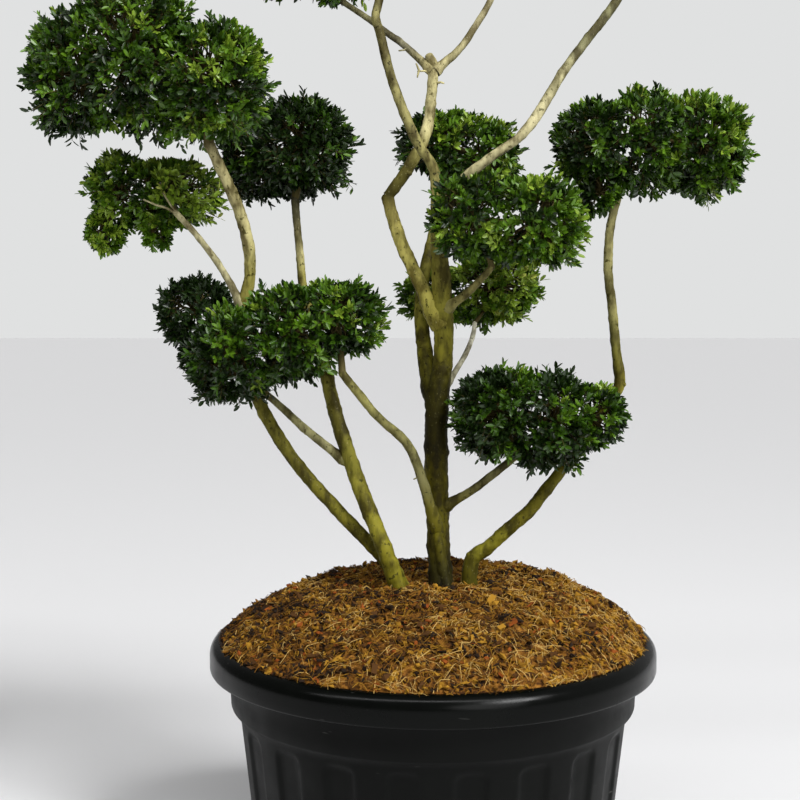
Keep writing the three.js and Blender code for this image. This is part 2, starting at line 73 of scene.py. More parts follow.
# Mulch, as in the source, but settled a little
MULCH_EDGE_RADIUS = 340
MULCH_EDGE_HEIGHT = 443
MULCH_RISE = 97
MULCH_SLOPE = 0.05
MULCH_LEAN = 0.03
MULCH_FALL = 0.08
MULCH_FULLNESS = 4.8
MULCH_SETTLING = 5

# Limbs, as in the source: the limb it grows from, how much its foot flares, its kind of bark, and
# points, each [x, y, z, radius]
FOOT_HEIGHT = 522
FLARE_HEIGHT = 22
LIMBS = {
    "trunk": (None, 5, "trunk", [
        [13, -30, FOOT_HEIGHT, 17.5], [10, -25, 577, 18], [5.5, -18, 700, 18], [7, -10, 819, 18.5],
        [16, -10, 890, 15.5], [15, -15, 970, 15.5], [10, -30, 1038, 13.5], [6, -50, 1110, 11],
        [-1, -55, 1179, 8], [-27, -60, 1221, 7.5], [-64, -55, 1313, 7], [-83, -45, 1387, 7],
        [-89, -40, 1410, 6.8], [-83, -35, 1440, 6.5], [-64, -20, 1530, 6], [-56, -12, 1612, 5.5],
    ]),
    "stem_left_front": (None, 4, "shaded", [
        [-52, -30, FOOT_HEIGHT, 14], [-79, -30, 594, 13], [-120, -12, 696, 12], [-153, 8, 793, 11.5],
        [-172, 30, 866, 11], [-193, 60, 939, 9.5], [-211, 80, 1002, 7], [-216, 90, 1053, 6.4],
        [-222, 105, 1104, 6.6], [-226, 120, 1146, 7],
    ]),
    "stem_left_rear": (None, 2, "stem", [
        [-52, 8, FOOT_HEIGHT, 11], [-79, 6, 566, 10.5], [-142, 10, 632, 10.5], [-225, 20, 726, 10.5],
        [-284, 30, 828, 10], [-307, 34, 907, 10], [-302, 30, 973, 10], [-291, 20, 1017, 9.2],
        [-292, 10, 1066, 9.1], [-304, 0, 1117, 9], [-327, -15, 1175, 9], [-347, -30, 1221, 8.5],
    ]),
    "stem_right": (None, 3, "olive", [
        [57, -30, FOOT_HEIGHT, 11], [63, -32, 572, 12], [85, -36, 590, 10.5], [116, -42, 620, 10],
        [151, -46, 652, 10], [175, -46, 683, 9.5], [199, -40, 712, 9], [248, -15, 775, 8.5],
        [288, 0, 830, 8.5], [296, 0, 846, 9], [291, 5, 899, 7.5], [285, 10, 964, 7.5],
        [278.5, 15, 1030, 7.5], [281.5, 20, 1090, 7], [294, 30, 1144, 6.5],
    ]),
    "branch_crossing": ("trunk", 0, "branch", [
        [6, -32, 618, 7.5], [-3, -45, 652, 8], [-18, -52, 702, 7.5], [-36, -60, 750, 7.5],
        [-53, -65, 771, 7.5], [-86, -75, 801, 6.5], [-117, -82, 839, 6.5], [-140, -82, 868, 6],
    ]),
    "branch_right_low": ("trunk", 0, "branch", [
        [12, -20, 650, 8], [59, -40, 681, 6.5], [91, -50, 707, 6.5], [128, -57, 738, 5.5],
    ]),
    "branch_left_low": ("stem_left_front", 0, "tan", [
        [-140, -3, 725, 7], [-202, 12, 772, 6.5], [-246, 42, 808, 6], [-291, 66, 843, 5.5],
        [-342, 76, 890, 5],
    ]),
    "branch_left_upper": ("stem_left_rear", 0, "pale", [
        [-303, 30, 966, 6.5], [-336, 26, 1028, 5.6], [-368, 22, 1073, 5], [-393, 20, 1102, 4.6],
        [-408, 20, 1118, 4.4],
    ]),
    "bough_fork_rear": ("trunk", 0, "trunk", [
        [6, -8, 812, 11.5], [-11, 16, 888, 12], [-18, 40, 970, 11], [-11, 70, 1028, 9.5], [7, 100, 1102, 8],
        [22, 110, 1150, 7],
    ]),
    "bough_elbow_lower": ("trunk", 0, "elbow", [
        [14, -12, 938, 11], [-8, -12, 978, 11], [-26, -8, 1017, 10.5], [-48, -2, 1064, 10],
        [-66, 5, 1118, 9.5], [-71, 8, 1141, 9.5],
    ]),
    "bough_elbow_upper": ("bough_elbow_lower", 0, "elbow", [
        [-71, 8, 1142, 9], [-40, 5, 1184, 9.5], [-25, 0, 1211, 9], [-17, 0, 1226, 9], [-7, 5, 1259, 8.5],
        [-3, 10, 1297, 8], [0, 15, 1341, 8.5], [-1, 16, 1350, 8],
    ]),
    "branch_top_left": ("bough_elbow_upper", 0, "dull", [
        [-2, 14, 1338, 6], [-46, 20, 1379, 5.5], [-74, 25, 1400, 5.2], [-97, 30, 1418, 5],
        [-143, 40, 1450, 4.5],
    ]),
    "branch_top_middle": ("bough_elbow_upper", 0, "pale", [
        [3, 14, 1338, 6.5], [43, 25, 1375, 5.8], [71, 35, 1417, 5.5], [92, 45, 1454, 5.2],
        [118, 52, 1520, 5],
    ]),
    "bough_top_right": ("trunk", 0, "weathered", [
        [7, -50, 1093, 8.5], [36, -65, 1153, 8.5], [95, -70, 1202, 6.8], [127, -65, 1224, 7],
        [155, -55, 1258, 8], [200, -35, 1331, 7.2], [233.5, -20, 1376, 7.2], [285, 0, 1444, 7],
        [324, 15, 1518, 6.5],
    ]),
    "branch_centre_front": ("trunk", 0, "branch", [
        [15, -15, 964, 7], [47, -40, 986, 6.5], [73, -65, 1013, 6], [88, -75, 1030, 5],
    ]),
    "branch_centre_rear": ("trunk", 0, "bleached", [
        [12, -10, 832, 5], [50, 20, 888, 4.2], [66, 50, 922, 4], [70, 66, 942, 3.5],
    ]),
}

# The elbow's upper half goes straight on from the lower one, so it has no collar
CONTINUED_LIMB = "bough_elbow_upper"

# The ridge where the crossing branch runs up the front of the trunk
TRUNK_RIDGE = [[20, -40, FOOT_HEIGHT, 10], [12, -38, 577, 9.5], [4, -34, 628, 8], [-3, -40, 652, 6]]

# Cut stubs and knobs: limb, foot, direction, length, radius at the foot and at the end
STUBS = [
    ("stem_right", [61, -33, 566], [-0.1, -0.1, 1], 13, 9.2, 7.6),
    ("bough_elbow_upper", [2, 14, 1343], [-0.5, -0.1, 1], 19, 8.2, 7),
    ("stem_right", [294, 0, 842], [0.9, -0.2, 0.5], 10, 7, 4.8),
    ("bough_elbow_upper", [-44, 4, 1180], [0.75, -0.5, -0.3], 10, 5.5, 4),
]

# Kinds of bark: colour by height in metres, which holds painted shade and painted light at some heights,
# colour of its scars and of its lenticels
BARKS = {
    "stem": ({
        0.5: "4c4708", 0.57: "5e5812", 0.63: "716b20", 0.73: "625d1d", 0.8: "6b6624", 0.9: "7f7930",
        1.02: "8f8845", 1.08: "aea673", 1.25: "b3aa7c", 1.6: "a49b6e",
    }, "332f08", "bdb684"),
    # Painted shade: darker at 0.79 m and from 1.1 m up, where the pads above shade the stem
    "shaded": ({
        0.5: "645d0b", 0.62: "797322", 0.73: "79742a", 0.79: "524d1a", 0.86: "7a7530", 1.02: "8f8845",
        1.055: "aea673", 1.1: "6a6546", 1.15: "3c3928",
    }, "332f08", "bdb684"),
    # Painted shade: darker at the foot by the mulch
    "olive": ({
        0.5: "2f2b04", 0.56: "4f4a0e", 0.59: "75701f", 0.65: "5d5714", 0.72: "625d18", 0.84: "7c7627",
        0.9: "68642a", 0.97: "817c4c", 1.09: "8c8658", 1.2: "8c8658",
    }, "332f08", "aaa472"),
    # Darker at the foot as painted shade, and darker from 0.75 to 0.84 m, partly its own dark bark and partly
    # painted shade of the pad on its right
    "trunk": ({
        0.53: "231f06", 0.56: "2f2c08", 0.585: "443f09", 0.61: "5e580d", 0.7: "5a540a", 0.75: "2e2a03",
        0.84: "2b2803", 0.9: "726d20", 1.05: "7f7a32", 1.19: "928c54", 1.27: "837d4e", 1.6: "8a8454",
    }, "1c1802", "8f8a58"),
    # Painted light: lighter from 0.97 to 1.1 m and at 1.33 m by the fork, against the shadow the pads cast
    # there
    "elbow": ({
        0.93: "857e30", 0.97: "a39b47", 1.02: "ccc268", 1.1: "a69c55", 1.13: "6b6230", 1.145: "3f3a14",
        1.184: "5b5626", 1.215: "948d52", 1.25: "c4bb88", 1.3: "aaa274", 1.33: "d2c892", 1.35: "b5ac7c",
    }, "403b14", "d6cf9e"),
    "branch": ({
        0.6: "5e580f", 0.655: "605a1c", 0.7: "757148", 0.86: "7a763f", 1.0: "857f4b",
    }, "2e2a10", "aaa57c"),
    # Painted light: the bright band at 1.33 m, at the fork, against the shadow of the pads above
    "pale": ({
        1.1: "a49e78", 1.3: "aaa47e", 1.33: "dbd19b", 1.36: "a9a176", 1.5: "bbb48f",
    }, "4f4a2c", "cbc6a6"),
    "tan": ({0.7: "6f6a25", 0.75: "8f8b62", 0.82: "938e5c", 0.9: "7f7a40"}, "3d381a", "b9b48c"),
    "dull": ({1.3: "bfb67f", 1.345: "cdc38c", 1.375: "7b7760", 1.42: "716d4c"}, "3d3920", "aca782"),
    "weathered": ({
        1.1: "a49e78", 1.2: "aca57c", 1.26: "b5ad85", 1.32: "aba57c", 1.37: "727050", 1.5: "706e4b",
    }, "4f4a2c", "b9b492"),
    # Pale bark, made paler still from 0.87 m up as painted light where the branch lies in the pads' shadow
    "bleached": ({0.83: "3a3717", 0.87: "aaa68c", 0.91: "efebd2"}, "8d8970", "f4f0da"),
}

# Short dead twigs: limb, points of the twig, radius at the foot
DEAD_TWIGS = [
    ("bough_elbow_upper", [[-4, 12, 1336], [-14, 8, 1337], [-25, 6, 1336]], 2.2),
    ("bough_elbow_upper", [[-22, 7, 1337], [-25, 5, 1344], [-27, 4, 1348]], 2),
    ("bough_elbow_upper", [[-22, 7, 1338], [-24, 5, 1331], [-25, 4, 1326]], 2),
    ("bough_elbow_upper", [[4, 10, 1318], [12, 6, 1319], [17, 4, 1317]], 2.4),
    ("branch_top_left", [[-38, 19, 1376], [-45, 12, 1370], [-54, 8, 1368]], 2.2),
    ("branch_left_upper", [[-404, 20, 1114], [-420, 10, 1124], [-437, 4, 1129], [-455, -1, 1137]], 2.6),
    ("branch_left_upper", [[-406, 20, 1116], [-414, 8, 1129], [-424, -1, 1147]], 2.2),
    ("branch_crossing", [[-24, -54, 705], [-31, -58, 702]], 1.6),
    ("stem_left_rear", [[-296, 27, 985], [-306, 22, 992]], 1.6),
]

# Pads of foliage: its bough and lobes as in the source, each lobe [x, y, z, half width, half depth,
# half height], and between them how deep in shade it lies, which darkens its leaves as painted shade
PADS = {
    "top_left": ("stem_left_rear", 0.3, [
        [-337, -45, 1312, 85, 102, 98], [-462, -30, 1354, 104, 118, 131], [-542, -25, 1329, 82, 102, 108],
    ]),
    "left": ("branch_left_upper", -0.6, [
        [-441, 85, 1153, 106, 80, 53], [-446, 68, 1104, 20, 36, 46], [-506, 80, 1158, 50, 62, 66],
        [-533, 74, 1089, 26, 34, 29],
    ]),
    "left_rear": ("stem_left_front", 1.4, [[-217, 142, 1234, 95, 96, 84], [-292, 150, 1218, 62, 78, 76]]),
    "low_left_rear": ("branch_left_low", 3.3, [[-367, 100, 907, 48, 66, 72], [-390, 105, 962, 64, 76, 56]]),
    "low_left": ("branch_crossing", 0.6, [
        [-148, -48, 951, 74, 80, 60], [-222, -50, 926, 82, 88, 76], [-309, -42, 893, 67, 86, 80],
    ]),
    "centre_upper": ("bough_fork_rear", 0.4, [[22, 112, 1234, 86, 84, 51], [85, 112, 1210, 60, 80, 64]]),
    "centre": ("branch_centre_front", 0.1, [[60, -85, 1104, 70, 84, 71], [151, -92, 1099, 77, 90, 72]]),
    "centre_lower": ("branch_centre_rear", -0.75, [[104, 112, 998, 79, 82, 62], [13, 108, 985, 66, 74, 42]]),
    "right": ("stem_right", 0.42, [
        [264, 20, 1150, 28, 40, 38], [266, 30, 1225, 80, 90, 72], [337, 25, 1232, 56, 84, 92],
        [428, 32, 1223, 80, 92, 82],
    ]),
    "low_right": ("branch_right_low", 0.9, [
        [101, -62, 805, 77, 78, 73], [184, -58, 793, 68, 84, 84], [244, -45, 798, 53, 72, 54],
    ]),
    "crown_left": ("branch_top_left", 0, [[-165, 50, 1526, 84, 88, 80], [-226, 58, 1538, 74, 80, 76]]),
    "crown_middle": ("trunk", 0, [[-50, -12, 1694, 94, 92, 86], [-12, 6, 1712, 80, 84, 70]]),
    "crown_right": ("branch_top_middle", 0, [[138, 60, 1598, 90, 92, 86], [206, 52, 1608, 72, 80, 76]]),
    "crown_far_right": ("bough_top_right", 0, [[374, 20, 1590, 94, 96, 88], [446, 26, 1600, 78, 84, 80]]),
}

# Rule for what grows in a pad: the source's, with more twigs and more forks
LOBE_POWER = 2.8
TWIGS_PER_LOBE = 78
LEAST_TWIGS = 12
LOBE_SIZE = 98
FAN_TURN = 0.15
FORK_SHARES = [0.36, 0.5, 0.61]
FORK_TURNS = [0.15, 0.12, 0.09]
TWIG_REACH = 0.832
REACH_JITTER = 0.035
REACH_LIMITS = (-2, 1)
TWIG_RADII = [2.4, 1.8, 1.3, 0.9, 0.4]
TWIG_SIDES = 3
UPRIGHT = 0.8
HIDDEN_SHARE = 0.8
HIDDEN_LEAF_SHARE = 0.7
LIMB_CLEARANCE = 3
TWIG_CLEARANCE = 2.5
PAD_MARGIN = 1.3
STEM_STEPS = 9
STEM_SIDES = 8
STEM_BEND = 3

# A pad's skin: waves of length in mm and weight, then how ragged it is, more so on sides and undersides
SKIN_WAVE = 0.085
SKIN_WAVES = [(95, 1.3), (38, 1.9)]
SKIN_LEVEL, SKIN_LOWEST, SKIN_HIGHEST = 0.2, -1.5, 0.8
STRAY_SHARE = 0.07
STRAY_REACH = 0.12
LOOSE_SLOPE = 0.3
LOOSE_STRAYS = 0.12
LOOSE_WAVE = 1.6
LOOSE_JITTER = 0.045
LOOSE_LIMITS = (-2.5, 1.2)

# A shoot's leaves, in mm and radians, and a spread written as least and extra
LEAVES_PER_SHOOT = 11
LEAF_CROWDING = 1.15
LEAF_PLACE_JITTER = 0.03
LEAF_LENGTH = 12.3
LEAF_LENGTH_SPREAD = (0.8, 0.35)
LEAF_FOOT_SHARE = 1.25
LEAF_TIP_SHARE = 1.12
LEAF_WIDTH_SHARE = 0.4
LEAF_WIDTH_SPREAD = (0.85, 0.3)
LEAF_FOLD = 0.22
LEAF_DROOP = 0.12
TIP_SPREAD = 0.3
FOOT_SPREAD = 0.95
SPREAD_CURVE = 1.3
SPREAD_JITTER = 0.2
SHOOT_LEAN = 0.28
SHOOT_RISE = 0.16
LEAF_JITTER = 0.12
LEAF_UPTURN = 0.4
LEAF_TWIST = 0.45

# Leaf outline: share along the leaf and share of the half width
LEAF_OUTLINE = [(0.0, 0.0), (0.38, 0.96), (0.78, 0.8), (1.0, 0.0), (0.78, -0.8), (0.38, -0.96)]
LEAF_FACES = [[0, 3, 2], [0, 2, 1], [0, 4, 3], [0, 5, 4]]

# How light each shoot's leaves are, from the darkest colour to the lightest by steps: painted light at the
# top, at the right and on swellings, and painted shade in pads in shade
BASE_LIGHT = 0.46
PAINTED_TOP_LIGHT = 0.22
PAINTED_SIDE_LIGHT = 0.3
PAINTED_SHADE_DEPTH = 0.3
TONE_JITTER = 0.17
PAINTED_SWELLING_LIGHT = 0.12
TONE_WAVE = 0.45
TONE_LENGTH = 55
TONE_STEPS = [0.2, 0.42, 0.68, 1.08]
LEAF_COLOURS = {
    "leaf_shade": "172906", "leaf_deep": "2c4807", "leaf_green": "4a6a11", "leaf_bright": "768f2a",
    "leaf_new": "a6af50",
}

# Roughness and specular level
LEAF_FINISH = (0.36, 0.42)
TWIG_FINISH = (0.75, 0.2)
BARK_FINISH = (0.62, 0.1)
PLASTIC_FINISH = (0.2, 0.1)
MULCH_FINISH = (0.9, 0.25)
LOOSE_FINISH = (0.95, 0.2)
FLOOR_FINISH = (0.9, 0.1)

# Seeds of the random draws
BARK_SEED = 7
MULCH_SEED = 11
FIRST_PAD_SEED = 101

# Camera, fitted to the pot's rings: millimetres of lens and sensor
CAMERA_PLACE = (-0.052, -2.150, 0.985)
CAMERA_PITCH = math.radians(90 - 4.36)
CAMERA_LENS = 61.11
SENSOR_WIDTH = 36

# Backdrop, floor and light: sky light from the left and from the right, suns by name, strength, softness,
# pitch and turn in degrees, and a long strip above the front of the pot
BACKDROP_COLOUR = "e0e1e1"
FLOOR_COLOUR = "e1e1e2"
FLOOR_REACH = 30
SOFT_LIGHT = (0.1, 0.44)
SUNS = [("key", 2.8, 18, 50, 46), ("front", 0.8, 34, 70, 26)]
STRIP_SIZE = (7, 0.35)
STRIP_POWER = 100
STRIP_PLACE = (-0.1, -1.7, 3.4)
STRIP_PITCH = math.radians(32)


def linear(hex_colour):
    """An sRGB colour such as 2c4a1b as linear red, green, blue and alpha."""
    parts = [int(hex_colour[i:i + 2], 16) / 255 for i in (0, 2, 4)]
    return [p / 12.92 if p <= 0.04045 else ((p + 0.055) / 1.055) ** 2.4 for p in parts] + [1.0]


def unit(vectors):
    return vectors / np.maximum(np.linalg.norm(vectors, axis=-1, keepdims=True), 1e-9)


def dot(a, b):
    return np.sum(a * b, axis=-1, keepdims=True)


def square_to(axis, vectors):
    """Unit vectors along the parts of vectors that stand square to an axis."""
    return unit(vectors - dot(vectors, axis) * axis)


def drawn(spread, random, count, power=1):
    """Random values from a least value and what it grows by."""
    return spread[0] + spread[1] * random.random(count) ** power


def waves(points, length):
    """Smooth noise from about -1 to 1 at each point, in waves of about the length."""
    return np.array([noise.noise(Vector(point) / length) for point in points])


def add_object(name, data):
    thing = bpy.data.objects.new(name, data)
    bpy.context.scene.collection.objects.link(thing)
    return thing


# Materials


def new_material(name, colour, roughness, specular):
    material = bpy.data.materials.new(name)
    material.use_nodes = True
    shader = material.node_tree.nodes["Principled BSDF"]
    shader.inputs["Base Color"].default_value = linear(colour)
    shader.inputs["Roughness"].default_value = roughness
    shader.inputs["Specular IOR Level"].default_value = specular
    return material, material.node_tree, shader


def plain_material(name, colour, finish):
    return new_material(name, colour, *finish)[0]


def add_node(tree, kind, output, inputs, **settings):
    """A shader node with its settings, its inputs set or linked. Gives one of its outputs."""
    node = tree.nodes.new(f"ShaderNode{kind}")
    for name, value in settings.items():
        setattr(node, name, value)
    for socket, value in inputs.items():
        if isinstance(value, bpy.types.NodeSocket):
            tree.links.new(value, node.inputs[socket])
        else:
            node.inputs[socket].default_value = value
    return node.outputs[output]


def object_place(tree):
    """Where a point lies in metres, in the object's own coordinates."""
    return add_node(tree, "TexCoord", "Object", {})


def add_noise(tree, scale, detail=4.0, stretch=(1, 1, 1), roughness=0.55):
    place = add_node(tree, "Mapping", "Vector", {"Vector": object_place(tree), "Scale": stretch})
    inputs = {"Vector": place, "Scale": scale, "Detail": detail, "Roughness": roughness}
    return add_node(tree, "TexNoise", "Fac", inputs)


def add_ramp(tree, source, stops):
    ramp = add_node(tree, "ValToRGB", "Color", {"Fac": source})
    elements = ramp.node.color_ramp.elements
    while len(elements) < len(stops):
        elements.new(0.5)
    for element, (position, colour) in zip(elements, stops.items()):
        element.position = position
        element.color = linear(colour)
    return ramp


def add_mix(tree, factor, first, second, blend="MIX"):
    """Two colours mixed, by the numbers of the sockets for colours."""
    return add_node(tree, "Mix", 2, {0: factor, 6: first, 7: second}, data_type="RGBA", blend_type=blend)


def add_range(tree, source, low, high, least=0.0, most=1.0):
    inputs = {"Value": source, "From Min": low, "From Max": high, "To Min": least, "To Max": most}
    return add_node(tree, "MapRange", "Result", inputs)


def add_bump(tree, shader, texture, strength, distance):
    inputs = {"Strength": strength, "Distance": distance, "Height": add_noise(tree, *texture)}
    tree.links.new(add_node(tree, "Bump", "Normal", inputs), shader.inputs["Normal"])


def add_height(tree):
    return add_node(tree, "SeparateXYZ", "Z", {"Vector": object_place(tree)})


# Where the pot's wall turns dull below its lip, in metres, and how much rougher it is
DULL_BELOW, SHINY_ABOVE, DULLER_BY = 0.37, 0.395, 0.25

# Crumbly stuff: colour, scale of its patches, their colours, roughness of its noise, and the scale, detail,
# strength and depth in metres of its bumps
MULCH_BED_LOOK = (
    "6b451d", 95, {0.3: "1a0d04", 0.43: "46290b", 0.55: "80531a", 0.7: "ab7a33"}, 0.7, 240, 5, 1.0, 0.003,
)
SOIL_LOOK = ("2d2118", 120, {0.35: "140d08", 0.6: "3b2a1c"}, 0.55, 300, 4, 0.8, 0.002)

# Marks from noise: its scale, detail, stretch and roughness, the values where a mark starts and is whole,
# and its strength
STAIN = (20, 4, (1, 1, 0.4), 0.55, 0.54, 0.7, 0.5)
SCAR = (140, 3, (1, 1, 0.9), 0.55, 0.6, 0.67, 0.9)
STREAK = (90, 4, (1, 1, 0.22), 0.55, 0.5, 0.64, 0.45)
LENTICEL = (420, 2, (1, 1, 0.5), 0.55, 0.66, 0.74, 0.3)
DUST = (7, 6, (1, 1, 0.5), 0.55, 0.5, 0.78, 0.2)
SCUFF = (60, 3, (0.25, 0.25, 2.4), 0.7, 0.69, 0.74, 0.3)

# Mottling of bark and how strong it is, and the grain of bark and plastic: noise, then strength and depth
# in metres
MOTTLE, MOTTLE_STRENGTH = {0.38: "787060", 0.56: "ffffff"}, 0.9
BARK_GRAIN = ((260, 5, (1, 1, 0.35)), 0.5, 0.0008)
PLASTIC_GRAIN = ((900, 2), 0.06, 0.0004)
PLASTIC_COLOUR, DUST_COLOUR, SCUFF_COLOUR = "040504", "10120f", "6a6a66"
# Roughness of the pot's shiny lip
LIP_GLOSS = (0.16, 0.3)


def add_mark(tree, base, colour, mark):
    *texture, start, whole, strength = mark
    share = add_range(tree, add_noise(tree, *texture), start, whole, 0, strength)
    return add_mix(tree, share, base, linear(colour))


def bark_material(name, stops, dark, pale):
    """Smooth bark whose colour changes with height, with painted shade and painted light at some heights,
    mottled, with dark scars and pale lenticels.
    """
    low, high = min(stops), max(stops)
    material, tree, shader = new_material(name, stops[low], *BARK_FINISH)
    height = add_range(tree, add_height(tree), low, high)
    base = add_ramp(tree, height, {(z - low) / (high - low): colour for z, colour in stops.items()})
    mottle = add_ramp(tree, add_noise(tree, 45, 5, (1, 1, 0.5)), MOTTLE)
    base = add_mix(tree, MOTTLE_STRENGTH, base, mottle, "MULTIPLY")
    for mark, colour in ((STAIN, dark), (SCAR, dark), (STREAK, dark), (LENTICEL, pale)):
        base = add_mark(tree, base, colour, mark)
    tree.links.new(base, shader.inputs["Base Color"])
    add_bump(tree, shader, *BARK_GRAIN)
    return material


def pot_material():
    """Black moulded plastic with faint dust and fine scuffs: a shiny lip and a duller wall."""
    material, tree, shader = new_material("pot_plastic", PLASTIC_COLOUR, *PLASTIC_FINISH)
    base = add_mark(tree, linear(PLASTIC_COLOUR), DUST_COLOUR, DUST)
    base = add_mark(tree, base, SCUFF_COLOUR, SCUFF)
    tree.links.new(base, shader.inputs["Base Color"])
    shiny = add_range(tree, add_noise(tree, 22, 5), 0.3, 0.7, *LIP_GLOSS)
    dull = add_range(tree, add_height(tree), DULL_BELOW, SHINY_ABOVE, DULLER_BY, 0)
    rough = add_node(tree, "Math", "Value", {0: shiny, 1: dull})
    tree.links.new(rough, shader.inputs["Roughness"])
    add_bump(tree, shader, *PLASTIC_GRAIN)
    return material


def loose_material(name, colour, scale, stops, crumble, bump_scale, bump_detail, strength, distance):
    """Crumbly stuff: colours in patches and a rough surface."""
    material, tree, shader = new_material(name, colour, *LOOSE_FINISH)
    base = add_ramp(tree, add_noise(tree, scale, 6, roughness=crumble), stops)
    tree.links.new(base, shader.inputs["Base Color"])
    add_bump(tree, shader, (bump_scale, bump_detail, (1, 1, 1), crumble), strength, distance)
    return material


# Meshes


def make_piece(name, vertices, faces, materials, slot, nodes, face_slots=None, smooth=True):
    """One object from arrays of triangles in millimetres, riding on the root and standing for its nodes."""
    mesh = bpy.data.meshes.new(name)
    mesh.from_pydata(vertices * MM, [], faces, shade_flat=not smooth)
    if face_slots is not None:
        mesh.polygons.foreach_set("material_index", face_slots.astype(np.int32))
    mesh.validate()
    for material in materials:
        mesh.materials.append(material)
    piece = add_object(name, mesh)
    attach(piece, "root")
    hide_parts(*nodes)


def joined(parts):
    """Several (vertices, faces) pairs as one."""
    vertices = np.concatenate([part[0] for part in parts])
    starts = np.cumsum([0] + [len(part[0]) for part in parts[:-1]])
    faces = np.concatenate([part[1] + start for part, start in zip(parts, starts)])
    return vertices, faces


def copied_faces(faces, corners, count):
    """The faces of as many copies of a form, each with its own corners."""
    return (np.arange(count)[:, None, None] * corners + np.array(faces)).reshape(-1, 3)


def ring_faces(rings, sides, count=1):
    """Triangles between the rings of round forms, facing outward where the rings go up."""
    ring = (np.arange(count)[:, None] * rings + np.arange(rings - 1)) * sides
    side = np.arange(sides)
    a = (ring[..., None] + side).ravel()
    b = (ring[..., None] + (side + 1) % sides).ravel()
    return np.concatenate([np.stack([a, b, b + sides], 1), np.stack([a, b + sides, a + sides], 1)])


def tubes(paths, radii, sides, helper=(0.0, 1.0, 0.0), capped=False):
    """Tubes along paths (tubes, points, 3). Radii are (tubes, points) or (tubes, points, sides)."""
    count, steps = paths.shape[:2]
    along = unit(np.gradient(paths, axis=1))
    across = unit(np.cross(along, np.reshape(helper, (-1, 1, 3))))
    other = np.cross(along, across)
    angles = 2 * np.pi * np.arange(sides) / sides
    if radii.ndim == 2:
        radii = np.repeat(radii[:, :, None], sides, axis=2)
    ring = across[:, :, None, :] * np.cos(angles)[:, None] + other[:, :, None, :] * np.sin(angles)[:, None]
    vertices = (paths[:, :, None, :] + ring * radii[..., None]).reshape(-1, 3)
    faces = ring_faces(steps, sides, count)
    if capped:
        last = ((np.arange(count) + 1) * steps - 1) * sides
        turns = (last[:, None] + np.arange(1, sides - 1)).ravel()
        fan = np.stack([np.repeat(last, sides - 2), turns, turns + 1], 1)
        faces = np.concatenate([faces, fan])
    return vertices, faces


def segment_tubes(starts, ends, first_radius, last_radius):
    """Straight tapering twigs."""
    paths = np.stack([starts, ends], axis=1)
    radii = np.tile([first_radius, last_radius], (len(starts), 1))
    upright = np.abs(unit(ends - starts)[:, 2:3]) > UPRIGHT
    helper = np.where(upright, (1.0, 0, 0), (0, 0, 1.0))
    return tubes(paths, radii, TWIG_SIDES, helper)


# Curves of the limbs, and the spacing of the samples of a limb and of a dead twig that foliage keeps clear of

CURVE_STEPS = 40
SAMPLE_SPACING, TWIG_SAMPLE_SPACING = 8, 5


def catmull_rom(points, shares):
    """Centripetal Catmull-Rom curve through the points, as in the source."""
    padded = np.vstack([2 * points[0] - points[1], points, 2 * points[-1] - points[-2]])
    spans = len(points) - 1
    index = np.minimum((shares * spans).astype(int), spans - 1)
    t = (shares * spans - index)[:, None]
    p0, p1, p2, p3 = (padded[index + k] for k in range(4))
    d0, d1, d2 = (np.sqrt(np.linalg.norm(b - a, axis=1))[:, None] for a, b in ((p0, p1), (p1, p2), (p2, p3)))
    m1 = ((p1 - p0) / d0 - (p2 - p0) / (d0 + d1) + (p2 - p1) / d1) * d1
    m2 = ((p2 - p1) / d1 - (p3 - p1) / (d1 + d2) + (p3 - p2) / d2) * d1
    return p1 + m1 * t + (3 * (p2 - p1) - 2 * m1 - m2) * t**2 + (2 * (p1 - p2) + m1 + m2) * t**3


def limb_path(points, flare, spacing):
    """Evenly spaced points along a limb, with the radius at each."""
    points = np.array(points, dtype=float)
    shares = np.linspace(0, 1, CURVE_STEPS * len(points))
    places = catmull_rom(points[:, :3], shares)
    radii = np.interp(shares * (len(points) - 1), np.arange(len(points)), points[:, 3])
    walked = np.concatenate([[0], np.cumsum(np.linalg.norm(np.diff(places, axis=0), axis=1))])
    wanted = np.linspace(0, walked[-1], max(3, round(walked[-1] / spacing)) + 1)
    path = np.stack([np.interp(wanted, walked, places[:, k]) for k in range(3)], axis=1)
    radius = np.interp(wanted, walked, radii) + flare * np.exp(-(path[:, 2] - FOOT_HEIGHT) / FLARE_HEIGHT)
    return path, radius, wanted


def limb_axis(name, spacing):
    _, flare, _, points = LIMBS[name]
    return limb_path(points, flare, spacing)


def limb_samples():
    """Points along every limb and every short twig with the radius there."""
    parts = [limb_axis(name, SAMPLE_SPACING)[:2] for name in LIMBS]
    for _, points, radius in DEAD_TWIGS:
        thick = [[*point, radius + TWIG_CLEARANCE] for point in points]
        parts.append(limb_path(thick, 0, TWIG_SAMPLE_SPACING)[:2])
    return np.concatenate([p[0] for p in parts]), np.concatenate([p[1] for p in parts])


# Bark

RING_SPACING = 4.0
PARENT_SPACING = 5
LIMB_SIDES = 16
COLLAR = 0.55
COLLAR_REACH = 0.8
ROOT_GAP = 6
ROOT_SHARE = 0.7
RIDGE_FLARE = 4
OVALITY = 0.03
OVALITY_TURN = 90
# Swellings along a limb: their distance, share of it before the first, jitter, length, ring and bud
NODE_EVERY = 46
NODE_START = 0.4
NODE_JITTER = 0.16
NODE_LENGTH = 5.5
NODE_RING = 0.02
NODE_BUD = (0.04, 0.1)
BUD_SHARPNESS = 1.6
# Bumps: share of the radius and length in mm
BARK_WAVES = [(0.06, 24), (0.09, 10), (0.06, 4)]
# Domed ends: places of the rings along the dome, its length and its least width
DOME_STEPS = [0.35, 0.65, 0.88, 1.0]
DOME_LENGTH = 0.75
DOME_LEAST = 0.02
STUB_RINGS = 7
STUB_SWELLING = 0.8
DEAD_TWIG_TAPER = 0.55
DEAD_TWIG_SIDES = 5


